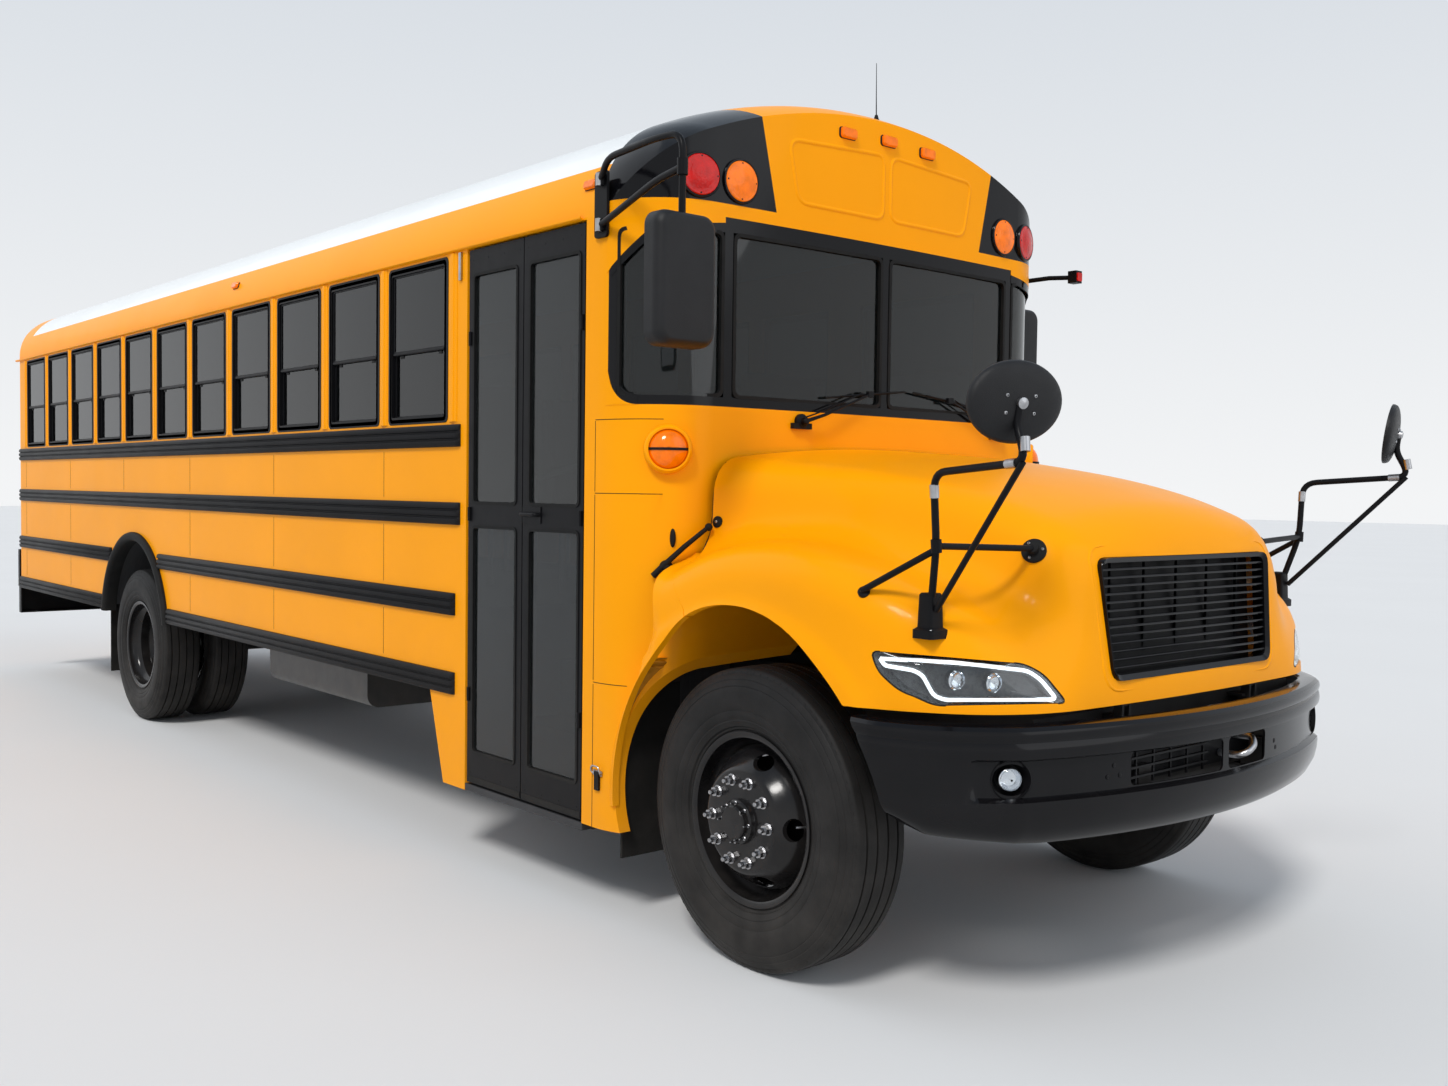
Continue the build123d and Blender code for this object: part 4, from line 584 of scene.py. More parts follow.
track_f, track_r, twin = 2.046 / 2, 2.134 / 2, 0.334
for side, name in SIDES:
    y, yo, yi = side * track_f, side * track_r, side * (track_r - twin)
    sets = (("front", fax, (y,), y, side, ""), ("rear", rax, (yo, yi), yo, -side, "s"))
    for end, x, places, disc_y, bulge, plural in sets:
        body = f"{end}_wheel_{name}"
        s, rims = Shape(tyre_mat), Shape(rim_mat)
        for at in places:
            tyre(s, x, at)
            wheel_rim(rims, x, at)
        s.obj(f"{end}_tyre{plural}_{name}", body, 30, replaces=(f"tyre{plural}_{end}_{name}",))
        rims.obj(f"{end}_rim{plural}_{name}", body, 40, replaces=(f"wheel{plural}_{end}_{name}",))
        wheel_disc(f"{end}_disc_{name}", x, disc_y, bulge, body)
    s = Shape(rim_mat, nut_mat, steel)
    s.lathe([(0.200, -0.028), (0.205, -0.024), (0.205, 0.015), (0.196, 0.020), (0.041, 0.020), (0.041, -0.028)],
            (fax, y, axle_z), (0, side, 0), 64)
    s.lathe([(0.041, 0.020), (0.100, 0.020), (0.100, 0.132), (0.094, 0.138), (0.084, 0.142), (0.078, 0.152),
             (0.0755, 0.165), (0.070, 0.170), (0.060, 0.171), (0.058, 0.183), (0.053, 0.188), (0.0001, 0.190)],
            (fax, y, axle_z), (0, side, 0), 48)
    nut_ring(s, fax, y + side * 0.170, side, 8, 0.0665, 0.0062, 0.005)
    nut_ring(s, fax, y + side * 0.150, side, 10, 0.143, 0.0172, 0.022)
    s.tube([(fax + 0.262, y + side * 0.045, axle_z + 0.02), (fax + 0.258, y + side * 0.085, axle_z + 0.02),
            (fax + 0.240, y + side * 0.115, axle_z + 0.02)], 0.0042, 8, 2)
    s.obj(f"front_hub_{name}", f"front_wheel_{name}", 35)
    s = Shape(rim_mat, nut_mat, steel)
    fy = side * (track_r - 0.167)
    s.lathe([(0.110, -0.180), (0.110, 0.050), (0.088, 0.060), (0.086, 0.108), (0.080, 0.118), (0.066, 0.128),
             (0.0001, 0.130), (0.0001, -0.180)], (rax, fy, axle_z), (0, side, 0), 48)
    s.lathe([(0.110, -0.220), (0.205, -0.214), (0.205, -0.068), (0.198, -0.062), (0.110, -0.062)],
            (rax, fy, axle_z), (0, side, 0), 64)
    nut_ring(s, rax, fy + side * 0.124, side, 8, 0.070, 0.0085, 0.006)
    nut_ring(s, rax, fy + side * 0.030, side, 10, 0.143, 0.0172, 0.022)
    s.obj(f"rear_hub_{name}", f"rear_wheel_{name}", 35)


# Hood
def curve(xs, ys):
    """A smooth line through points."""
    xs, ys = np.array(xs, float), np.array(ys, float)
    slope = np.gradient(ys, xs)

    def at(x):
        x = np.clip(x, xs[0], xs[-1])
        i = np.clip(np.searchsorted(xs, x) - 1, 0, len(xs) - 2)
        h = xs[i + 1] - xs[i]
        t = (x - xs[i]) / h
        return ((1 + 2 * t) * (1 - t) ** 2 * ys[i] + t * (1 - t) ** 2 * h * slope[i]
                + t * t * (3 - 2 * t) * ys[i + 1] + t * t * (t - 1) * h * slope[i + 1])
    return at


def smax(a, b, k):
    """The larger of two values, blended over k."""
    h = np.clip(0.5 + 0.5 * (a - b) / k, 0, 1)
    return b * (1 - h) + a * h + k * h * (1 - h)


def smin(a, b, k):
    """The smaller of two values, blended over k."""
    return -smax(-a, -b, k)


hood_xs = [-0.444, 0.145, 0.645, 1.040]
shoulder_y = curve(hood_xs, [0.930, 0.800, 0.725, 0.680])
shoulder_z = curve(hood_xs, [1.772, 1.716, 1.622, 1.470])
crest_z = curve(hood_xs, [1.836, 1.787, 1.702, 1.575])
foot_y = curve(hood_xs, [0.960, 0.830, 0.780, 0.740])
fender_z = curve([-0.444, -0.2, 0.065, 0.34, 0.60, 0.86, 0.99, 1.04],
                 [1.372, 1.455, 1.487, 1.462, 1.378, 1.238, 1.13, 1.08])
fender_y = curve([-0.6, 0.0, 0.45, 0.62, 0.76, 0.88, 0.97, 1.04],
                 [1.192, 1.196, 1.192, 1.160, 1.085, 0.985, 0.870, 0.730])
hood_rear_x, hood_foot_z = -0.444, 0.992
arch_line = curve([20, 45, 56, 68, 80, 92, 105, 112, 118, 124, 131, 140, 200],
                  [0.690, 0.688, 0.702, 0.724, 0.736, 0.742, 0.744, 0.738, 0.724, 0.706, 0.692, 0.688, 0.688])


def hood_value(x, y, z):
    """Below zero inside the hood; x is from the front axle."""
    w = np.abs(y)
    s, zs = shoulder_y(x), shoulder_z(x)
    top = crest_z(x) - (crest_z(x) - zs) * (w / s) ** 2
    side = s + (foot_y(x) - s) * (zs - z) / (zs - 0.96)
    bonnet = smax(z - top, w - side, 0.13)
    r = np.sqrt(x * x + (z - axle_z) ** 2)
    t = np.clip((0.772 - r) / 0.045, 0, 1)
    flare = 0.014 * t * t * (3 - 2 * t)
    fender = smax(z - fender_z(x) - flare * 0.8, w - fender_y(x) - flare, 0.15)
    both = smin(bonnet, fender, 0.20)
    lean = 1.036 - 0.058 * (z - 0.94) / 0.54
    nose = x - lean + 0.020 * (w / 0.6) ** 2
    return smax(both, nose, 0.13)


def along(o, d, lo=0.05, hi=2.2):
    """Distance along rays to the hood's surface."""
    lo, hi = np.full(len(d), lo), np.full(len(d), hi)
    for _ in range(34):
        mid = (lo + hi) / 2
        p = o + d * mid[:, None]
        inside = hood_value(p[:, 0], p[:, 1], p[:, 2]) < 0
        lo, hi = np.where(inside, mid, lo), np.where(inside, hi, mid)
    return (lo + hi) / 2


def even(points, count):
    """Points spaced evenly along a line."""
    step = np.linalg.norm(np.diff(points, axis=0), axis=1)
    s = np.concatenate([[0], np.cumsum(step)])
    want = np.linspace(0, s[-1], count)
    return np.stack([np.interp(want, s, points[:, k]) for k in range(3)], 1)


def hood_rows():
    """Lines round the hood, from its rear edge to its nose."""
    theta = np.linspace(0, math.pi, 721)
    split_x, zero = 0.56, np.zeros_like(theta)
    fans = [(x, 0.0) for x in np.linspace(hood_rear_x, split_x, 64)]
    fans += [(split_x, a) for a in np.linspace(0, math.pi / 2, 46)[1:-1]]
    rows = []
    for x, a in fans:
        d = np.stack([zero + math.sin(a), math.cos(a) * np.cos(theta), math.cos(a) * np.sin(theta)], 1)
        o = np.tile([x, 0, hood_foot_z], (len(theta), 1))
        rows.append(even(o + d * along(o, d)[:, None], 150))
    return np.array(rows)


def hood_normal(p):
    """Outward direction of the hood's surface."""
    steps = 1e-3 * np.eye(3)
    g = np.stack([hood_value(*np.moveaxis(p + e, -1, 0)) - hood_value(*np.moveaxis(p - e, -1, 0)) for e in steps], -1)
    return g / np.linalg.norm(g, axis=-1, keepdims=True)


outer = hood_rows()
inner = outer - hood_normal(outer) * 0.012
shift = np.array([fax, 0, 0])
n_u, n_v = outer.shape[:2]
# The hood's inner faces take the darkened yellow, which is painted shade
s = Shape(yellow, shaded_yellow)
outer_rows = [[tuple(p + shift) for p in row] for row in outer]
inner_rows = [[tuple(p + shift) for p in row] for row in inner]
front_out, front_in = outer_rows[-1], inner_rows[-1]
s.grid(outer_rows, 0)
s.grid(inner_rows, 1, flip=True)
s.add(front_out, [tuple(range(n_v))], 0)
s.add(front_in, [tuple(range(n_v))[::-1]], 1)
s.grid([outer_rows[0], inner_rows[0]], 0, flip=True)
for k in (0, -1):
    s.grid([[row[k] for row in outer_rows], [row[k] for row in inner_rows]], 0, flip=k == 0)
s.add([front_out[0], front_out[-1], front_in[-1], front_in[0]], [(0, 1, 2, 3)], 0)
hood = s.obj("hood_shell", "hood_assembly", 35, replaces=("hood",), slot="body_yellow")
hood_tree = BVHTree.FromPolygons([Vector(p) for row in outer_rows for p in row],
                                 [(i * n_v + j, (i + 1) * n_v + j, (i + 1) * n_v + j + 1, i * n_v + j + 1)
                                  for i in range(n_u - 1) for j in range(n_v - 1)])


def pixel_ray(px, py):
    """Direction from the camera through a place in the photograph."""
    return (ahead + right * ((px - photo_w / 2) / focal_px) - up * ((py - photo_h / 2) / focal_px)).normalized()


def on(surface, px, py, side=-1, sink=0.0):
    """The place on a surface under a photograph's pixel, for side 1 mirrored to the left."""
    got = surface.ray_cast(view_at, pixel_ray(px, py))
    if got[0] is None:
        raise ValueError(f"nothing under {px}, {py}")
    p, n = got[0], got[1]
    if n.dot(pixel_ray(px, py)) > 0:
        n = -n
    p = p - n * sink
    return (Vector((p.x, -p.y * side, p.z)), Vector((n.x, -n.y * side, n.z)))


def outline_path(corners, radius, steps=5):
    """A closed line of pixels with rounded corners."""
    out, k = [], len(corners)
    for i in range(k):
        a, b, c = (np.array(corners[(i + j - 1) % k], float) for j in range(3))
        u, w = a - b, c - b
        cutoff = min(radius, np.linalg.norm(u) * 0.45, np.linalg.norm(w) * 0.45)
        p, q = b + u / np.linalg.norm(u) * cutoff, b + w / np.linalg.norm(w) * cutoff
        out += [p * (1 - t) ** 2 + b * 2 * t * (1 - t) + q * t * t for t in np.linspace(0, 1, steps)]
    return out


lamp_px = [(870, 650.5), (1024, 663.5), (1044, 674), (1068, 703.5), (936, 706), (898, 690), (878, 672)]
lamp_line = outline_path(lamp_px, 9)
cutter = Shape(yellow)


def across(shape, outline, side, y0, y1):
    """A solid between two widths, its outline seen from the side and measured from the front axle."""
    shape.prism(*([(fax + a, side * y, b) for a, b in outline] for y in (y0, y1)))


for side in (-1, 1):
    eye = Vector((view_at.x, -side * view_at.y, view_at.z))
    rim = [on(hood_tree, px, py, side)[0] for px, py in lamp_line]
    cutter.prism(*([eye + (p - eye) * k for p in rim] for k in (0.93, 1.09)))
grille_line = outline_path([(-0.535, 1.460), (0.535, 1.460), (0.497, 1.066), (-0.497, 1.066)], 0.045)
cutter.prism(*([(fax + d, y, z) for y, z in grille_line] for d in (1.2, 0.80)))
arch_outline = []
for t in turns(128):
    r = float(arch_line(math.degrees(t) if math.degrees(t) <= 200 else 20))
    arch_outline.append((r * math.cos(t), axle_z + r * math.sin(t)))
# The hood ends at a slanting seam; what lies behind it belongs to the cowl
behind = [(hood_rear_x, 1.400), (-0.343, 1.285), (-0.278, 1.213), (-0.278, 0.90), (hood_rear_x - 0.10, 0.90),
          (hood_rear_x - 0.10, 1.400)]
for side in (-1, 1):
    across(cutter, arch_outline, side, 1.30, 0.66)
cut(hood, cutter)
cutter = Shape(yellow)
for side in (-1, 1):
    across(cutter, behind, side, 1.32, 0.90)
cut(hood, cutter)


def skin_y(x, z):
    """Half width of the hood's surface at places seen from the side."""
    o = np.stack([np.ravel(x), np.full(np.size(x), 0.3), np.ravel(z)], 1)
    return (along(o, np.tile([0.0, 1.0, 0.0], (len(o), 1))) + 0.3).reshape(np.shape(x))


# Lip rolled round the arch
lip_a = np.radians(np.linspace(42.5, 111.8, 65))[:, None]
lip_dr = np.array([0.003, 0.000, -0.002, -0.002, 0.004, 0.007])
lip_dy = np.array([0.000, -0.003, -0.012, -0.034, -0.036, -0.012])
lip_r = arch_line(np.degrees(lip_a)) + lip_dr
lip_x, lip_z = lip_r * np.cos(lip_a), axle_z + lip_r * np.sin(lip_a)
lip_y = np.minimum(1.202, skin_y(lip_x, lip_z)) + lip_dy
for side, name in SIDES:
    s = Shape(yellow)
    s.grid([[(fax + x, side * y, z) for x, y, z in zip(*row)] for row in zip(lip_x, lip_y, lip_z)], 0, close_v=True)
    s.obj(f"arch_lip_{name}", "hood_assembly", 40)

# Cowl behind the hood: the rear of the fender with its lip, seal, latch and panel joints
cowl_tree, wall_tree = tree("cowl"), tree("side_walls")


def body_at(x, z, side):
    """The body's side surface at a place seen square from that side."""
    found = []
    for t in (cowl_tree, wall_tree):
        got = t.ray_cast(Vector((x, side * 1.6, z)), Vector((0, -side, 0)))
        if got[0] is not None and abs(got[0].y) > 1.08:
            found.append(abs(got[0].y))
    return max(found) if found else None


def ease(t):
    """From 0 to 1 with a soft start and end."""
    t = min(max(t, 0.0), 1.0)
    return t * t * (3 - 2 * t)


# Rows outwards from the arch's edge, wide beside the hood and narrow towards the rear
angles = np.linspace(112.2, 186.0, 73)
row_points, hood_edge, lip_y_max = 13, 113.0, 1.216
turn_x, turn_z = [], []
for a0 in angles:
    r0 = float(arch_line(a0)) - 0.002
    reach = 0.235 * (1 - ease((a0 - hood_edge) / 20.0)) + 0.042 + 0.010 * ease((a0 - 150) / 30)
    r = r0 + reach * np.linspace(0, 1, row_points)
    a = np.radians(a0 + 20.0 * (r - r0) * (1 - ease((a0 - hood_edge) / 14.0)))
    turn_x.append(r * np.cos(a))
    turn_z.append(axle_z + r * np.sin(a))
turn_x, turn_z = np.array(turn_x), np.array(turn_z)
turn_y = skin_y(turn_x, turn_z)
for i, a0 in enumerate(angles):
    w = ease((a0 - 119.0) / 13.0)
    for k in range(row_points):
        body_y = body_at(fax + turn_x[i, k], turn_z[i, k], -1) or turn_y[i, k]
        share = ease(k / 12 * 1.05) if k > 1 else 0
        lip = lip_y_max - (lip_y_max - (body_y - 0.004)) * share
        turn_y[i, k] = (1 - w) * (turn_y[i, k] + 0.0005) + w * lip
for side, name in SIDES:
    # The fender's back face takes the darkened yellow, which is painted shade
    s = Shape(yellow, shaded_yellow)
    front = [[(fax + x, side * y, z) for x, y, z in zip(*row)] for row in zip(turn_x, turn_y, turn_z)]
    s.slab(front, [[(x, y - side * 0.030, z) for x, y, z in row] for row in front], 0, 1)
    s.obj(f"cowl_fender_{name}", "bus", 50, slot="body_yellow")

# Seal, panel joints, a dark patch of painted shade at the vent slot, strap and hook on the cowl, by places in the
# photograph
slot_shade_px, strap_foot_px, strap_head_px, catch_px = (672.6, 538), (666, 567), (716, 524), (718, 522)


def joint_line(shape, places, side):
    """A fine dark line on the body's side through places in x and z."""
    shape.tube([(x, side * ((body_at(x, z, side) or half) + 0.0002), z) for x, z in places], 0.0014, 6, 0)


s = Shape(rubber, black, steel)
edge = [Vector(p) + Vector(shift) for p in outer[0][::3] if p[2] > 1.402]
s.tube([(p.x - 0.0030, p.y * 0.9975, p.z - 0.002) for p in edge], 0.0026, 8, 0)
joint_x, hook_x, hook_z = 3.392, 3.430, 0.560
for side in (-1, 1):
    for lo, hi in ((0.345, 0.905), (0.921, 1.634), (1.646, 1.915)):
        joint_line(s, [(joint_x, z) for z in np.linspace(lo, hi, 12)], side)
    for z, x_end in ((1.920, 3.66), (1.640, 3.70), (0.913, 3.56)):
        joint_line(s, [(x, z) for x in np.linspace(joint_x, x_end, 16)], side)
    # A black lozenge at the vent slot: painted shade standing in for the slot's dark opening
    s.ball(on(cowl_tree, *slot_shade_px, side)[0], 1.0, 20, 0, (0.015, 0.010, 0.036))
    base, base_n = on(cowl_tree, *strap_foot_px, side)
    head = base + (on(hood_tree, *strap_head_px, side)[0] - base) * 0.93
    out_n = Vector((0.25, side, 0.0)).normalized()
    s.lathe([(0.026, -0.004), (0.026, 0.010), (0.020, 0.016), (0.012, 0.030), (0.0001, 0.032), (0.0001, -0.004)],
            base, base_n, 20, 0)
    mid = base + (head - base) * 0.5 + out_n * 0.034
    s.tube([base + (base - head) * 0.22 + out_n * 0.016, base + out_n * 0.026, mid, head + out_n * 0.026],
           lambda t: 0.0125 - 0.004 * t, 10, 0)
    s.ball(head + out_n * 0.024, 0.015, 14, 0)
    y = side * half
    s.box(hook_x - 0.014, hook_x + 0.014, y, y + side * 0.010, hook_z - 0.060, hook_z + 0.012, 1)
    s.box(hook_x - 0.028, hook_x + 0.028, y, y + side * 0.004, hook_z - 0.004, hook_z + 0.016, 2)
    loop = [(-0.020, 0.004, 0), (-0.030, 0.014, 0.012), (-0.022, 0.016, 0.034)]
    loop += [(-a, b, c) for a, b, c in loop[::-1]]
    s.tube([(hook_x + a, y + side * b, hook_z + c) for a, b, c in loop], 0.0032, 8, 2, bend=0.008)
s.obj("cowl_fittings", "bus", 40, slot="black_rubber")
s = Shape(rubber, steel)
for side in (-1, 1):
    p, n = on(hood_tree, *catch_px, side)
    s.lathe([(0.022, -0.003), (0.022, 0.006), (0.016, 0.010), (0.010, 0.012), (0.0001, 0.012), (0.0001, -0.003)],
            p, n, 18, 0)
    s.stud(p + n * 0.012, n, 0.006, 0.003, seg=10, mat=1, back=0.001)
s.obj("hood_catches", "hood_assembly", 40, slot="black_rubber")

# Headlamps: a clear cover, light strips and two projectors in a dark housing
strip_px = [(878.5, 659), (955, 663), (1030, 670), (1043, 679), (1059.5, 699.5), (944, 700.5), (933, 696), (922, 676),
            (913, 671), (883, 666)]
projectors_px = ((954, 681.5, 0.027), (996, 683, 0.026))
lamp_centre = np.mean(np.array(lamp_line), axis=0)


def lamp_ring(scale, side, sink):
    """The lamp's outline, scaled about its middle and sunk into the hood."""
    return [on(hood_tree, *(lamp_centre + (p - lamp_centre) * scale), side, sink)[0] for p in lamp_line]


for side, name in SIDES:
    s = Shape(lens_clear)
    front, back = ([lamp_ring(1 - k / 8.5, side, sink) for k in range(9)] for sink in (0.001, 0.005))
    s.grid(front, 0, close_v=True)
    s.grid(back, 0, close_v=True, flip=True)
    for k in (0, -1):
        s.grid([front[k], back[k]], 0, close_v=True)
    s.ends([front[-1], back[-1]])
    s.obj(f"lamp_cover_{name}", "hood_assembly", 40, replaces=("headlamps",) if side < 0 else ())
    s = Shape(lamp_in, led, chrome, rubber, lens_clear)
    housing = [lamp_ring(1.0, side, 0.004), lamp_ring(0.93, side, 0.058)]
    s.grid(housing, 0, close_v=True)
    s.add(housing[1], [tuple(range(len(lamp_line)))], 0)
    s.tube([on(hood_tree, *p, side, 0.0015)[0] for p in lamp_line + lamp_line[:1]], 0.0028, 8, 3)
    for sink, radius, seg, mat in ((0.014, 0.0062, 10, 1), (0.026, 0.011, 8, 0)):
        strip = [on(hood_tree, *p, side, sink)[0] for p in strip_px + strip_px[:1]]
        s.tube(strip, radius, seg, mat, bend=0.02)
    for px, py, r in projectors_px:
        p = on(hood_tree, px, py, side, 0.040)[0]
        facing = Vector((1, side * 0.25, 0)).normalized()
        s.lathe([(r * 1.15, -0.01), (r * 1.15, 0.012), (r, 0.016), (r * 0.96, 0.010), (r * 0.94, -0.005),
                 (0.0001, -0.01)], p, facing, 32, 2)
        s.dome(p + facing * 0.002, facing, r * 0.93, r * 0.42, seg=28, mat=4)
    s.obj(f"lamp_inside_{name}", "hood_assembly", 40)

# Grille
s = Shape(gloss, black)


def nose_at(z, back=0.0):
    """The leaning nose's x at a height, set back."""
    return fax + 1.036 - 0.058 * (z - 0.94) / 0.54 - back


def grille_ring(wide, top, narrow, foot, radius, back):
    """A rounded outline in the nose: half width and height of its top and its foot."""
    corners = [(-wide, top), (wide, top), (narrow, foot), (-narrow, foot)]
    return [(nose_at(z, back), y, z) for y, z in outline_path(corners, radius)]


outer_l = grille_ring(0.5335, 1.4585, 0.4955, 1.0675, 0.044, 0.004)
inner_l = grille_ring(0.516, 1.442, 0.480, 1.084, 0.034, 0.012)
rows = [outer_l, [(x + 0.003, y * 0.996, z) for x, y, z in outer_l], inner_l,
        [(x - 0.045, y, z) for x, y, z in inner_l], [(x - 0.045, y, z) for x, y, z in outer_l]]
s.grid(rows, 0, close_u=True, close_v=True)
bars, bar_foot, bar_span = 13, 1.080, 0.366
bar_sec = [(0.0, 0.0035), (0.0015, 0.0), (0.0, -0.0035), (-0.030, -0.0075), (-0.032, -0.0045), (-0.004, 0.0045)]
for k in range(1, bars + 1):
    z = bar_foot + k * bar_span / (bars + 1)
    w = 0.482 + 0.036 * (z - bar_foot) / bar_span
    x = nose_at(z, 0.016)
    s.prism(*([(x + a, y, z + b) for a, b in bar_sec] for y in (-w, w)), 0)
for y in (-0.40, -0.20, 0.0, 0.20, 0.40):
    s.box(nose_at(1.45, 0.060), nose_at(1.45, 0.050), y - 0.004, y + 0.004, 1.07, 1.455, 1)
low_x, high_x = nose_at(1.06, 0.085), nose_at(1.46, 0.085)
s.add([(low_x, -0.49, 1.07), (low_x, 0.49, 1.07), (high_x, 0.53, 1.455), (high_x, -0.53, 1.455)], [(0, 1, 2, 3)], 1)
s.obj("grille_fins", "hood_assembly", 30, replaces=("grille",), slot="gloss_black")

# Raised frame pressed round the grille
s = Shape(yellow)
line_out = outline_path([(-0.575, 1.500), (0.575, 1.500), (0.535, 1.032), (-0.535, 1.032)], 0.075)
grille_mid = 1.266
rows = []
for dy, dx in ((0.0, -0.0006), (0.004, 0.0028), (0.009, 0.0032), (0.014, -0.0006)):
    row = []
    for y, z in line_out:
        k = 1 - dy / 0.5
        y, z = y * k, grille_mid + (z - grille_mid) * k
        p = hood_tree.ray_cast(Vector((fax + 1.6, y, z)), Vector((-1, 0, 0)))[0]
        row.append((p.x + dx, y, z))
    rows.append(row)
s.grid(rows, 0, close_v=True)
s.obj("grille_press", "hood_assembly", 60)


# Body front
bow_r = (half ** 2 + 0.045 ** 2) / (2 * 0.045)
turn_r, turn_y, front_start = 0.32, 0.899, 3.0
corner_x = face_x - bow_r + math.sqrt((bow_r - turn_r) ** 2 - turn_y ** 2)
corner_a = math.asin(turn_y / (bow_r - turn_r))


def front_path():
    """The body's outline round its front, from the right side to the left."""
    pts = [(front_start, -half)]
    for i in range(41):
        a = -math.pi / 2 + (math.pi / 2 - corner_a) * i / 40
        pts.append((corner_x + turn_r * math.cos(a), -turn_y + turn_r * math.sin(a)))
    for i in range(1, 120):
        a = -corner_a + 2 * corner_a * i / 120
        pts.append((face_x - bow_r + bow_r * math.cos(a), bow_r * math.sin(a)))
    return pts + [(x, -y) for x, y in pts[40::-1]] + [(front_start, half)]


def path_run(pts):
    """Distance along a path, from its middle."""
    d = [0.0]
    for a, b in zip(pts, pts[1:]):
        d.append(d[-1] + math.hypot(b[0] - a[0], b[1] - a[1]))
    return [v - d[-1] / 2 for v in d]


ref_path = front_path()
ref_run = path_run(ref_path)
ref_x, ref_y = np.array(ref_path).T


def front_at(run, inset=0.0):
    """A place round the front, by distance from the middle."""
    e = 0.004
    x, y = np.interp(run, ref_run, ref_x), np.interp(run, ref_run, ref_y)
    tx, ty = (np.interp(run + e, ref_run, v) - np.interp(run - e, ref_run, v) for v in (ref_x, ref_y))
    k = math.hypot(tx, ty)
    return float(x - ty / k * inset), float(y + tx / k * inset)


def run_of(y_or_x, by_x=False):
    """Distance round the front to a place on the left side's half."""
    mid = len(ref_path) // 2
    if by_x:
        return float(np.interp(-y_or_x, -ref_x[mid:], ref_run[mid:]))
    return float(np.interp(y_or_x, ref_y[mid:], ref_run[mid:]))


def wrapped_ring(shape, outer_l, inner_l, in0, in1, mat=0):
    """A frame between two lines of (distance, height), bent round the front."""
    rows = []
    for line, inset in ((outer_l, in0), (inner_l, in0), (inner_l, in1), (outer_l, in1)):
        rows.append([(*front_at(a, inset), b) for a, b in line])
    shape.grid(rows, mat, close_u=True, close_v=True)


def wrapped_pane(shape, a0, a1, b0, b1, inset, thick, r):
    """A pane between two distances, bent round the front."""
    rows_f, rows_b = [], []
    for a in np.linspace(a0, a1, 15):
        edge = min(a - a0, a1 - a)
        d = 0.0 if edge >= r else r - math.sqrt(max(r * r - (r - edge) ** 2, 0))
        rows_f.append([(*front_at(a, inset), z) for z in (b0 + d, b1 - d)])
        rows_b.append([(*front_at(a, inset + thick), z) for z in (b0 + d, b1 - d)])
    shape.slab(rows_f, rows_b)


end_run = run_of(pillar_x + 0.146, by_x=True)
side_post_run = run_of(0.850)
s = Shape(gloss, rubber)
for a0, a1 in ((0.020, side_post_run - 0.022), (side_post_run + 0.022, end_run - 0.040)):
    for m in (1, -1):
        lo, hi = sorted((a0 * m, a1 * m))
        big = outline_path([(lo, 2.008), (hi, 2.008), (hi, 2.637), (lo, 2.637)], 0.035)
        low, high = (lo + 0.014, 2.022), (hi - 0.014, 2.623)
        small = outline_path([low, (high[0], low[1]), high, (low[0], high[1])], 0.026)
        wrapped_ring(s, big, small, -0.0035, 0.012, 1)
s.obj("windshield_beads", "bus", 40, slot="black_rubber")
s = Shape(shield)
for a0, a1 in ((0.022, side_post_run - 0.024), (side_post_run + 0.024, end_run - 0.042)):
    for m in (1, -1):
        lo, hi = sorted((a0 * m, a1 * m))
        wrapped_pane(s, lo, hi, 2.010, 2.635, 0.012, 0.005, 0.03)
s.obj("windshield_panes", "bus", 30, replaces=("fixed_glass",), slot="tinted_glass")


def wrapped_patch(shape, runs, low, high, in0, in1, mat=0):
    """A thin patch round the front between two lines of height."""
    front, rear = ([[(*front_at(r, inset), edge(r)) for edge in (low, high)] for r in runs] for inset in (in0, in1))
    shape.slab(front, rear, mat, mat)


# Painted corners round the dark surround: a slope above, a round below
slope_runs = [end_run + 0.012, end_run, run_of(3.62, by_x=True), run_of(0.870)]
slope_zs = [2.470, 2.485, 2.628, 2.668]
corner_r, border_w = 0.130, 0.036
paint_in, border_in = -0.0022, -0.0016


def slope(r):
    """Height of the sloping upper edge."""
    return float(np.interp(abs(r), slope_runs[::-1], slope_zs[::-1]))


def bow(r, radius):
    """Height of the round lower edge."""
    d = min(max(abs(r) - (end_run - corner_r), 0), radius)
    return shield_z0 + corner_r - math.sqrt(max(radius ** 2 - d ** 2, 0))


s = Shape(yellow, gloss)
for m in (-1, 1):
    upper = [m * r for r in np.linspace(slope_runs[-1], slope_runs[0], 24)]
    wrapped_patch(s, upper, slope, lambda r: drip_z + 0.001, paint_in, 0.002, 0)
    wrapped_patch(s, [r for r in upper if abs(r) < end_run - 0.004], lambda r: slope(r) - border_w, slope,
                  border_in, 0.002, 1)
    lower = [m * r for r in np.linspace(end_run - corner_r, end_run + 0.012, 20)]
    wrapped_patch(s, lower, lambda r: shield_z0 - 0.001, lambda r: bow(r, corner_r), paint_in, 0.002, 0)
    wrapped_patch(s, [r for r in lower if abs(r) < end_run - border_w], lambda r: bow(r, corner_r) - 0.001,
                  lambda r: bow(r, corner_r - border_w) + 0.001, border_in, 0.002, 1)
s.obj("surround_corners", "bus", 50, slot="body_yellow")

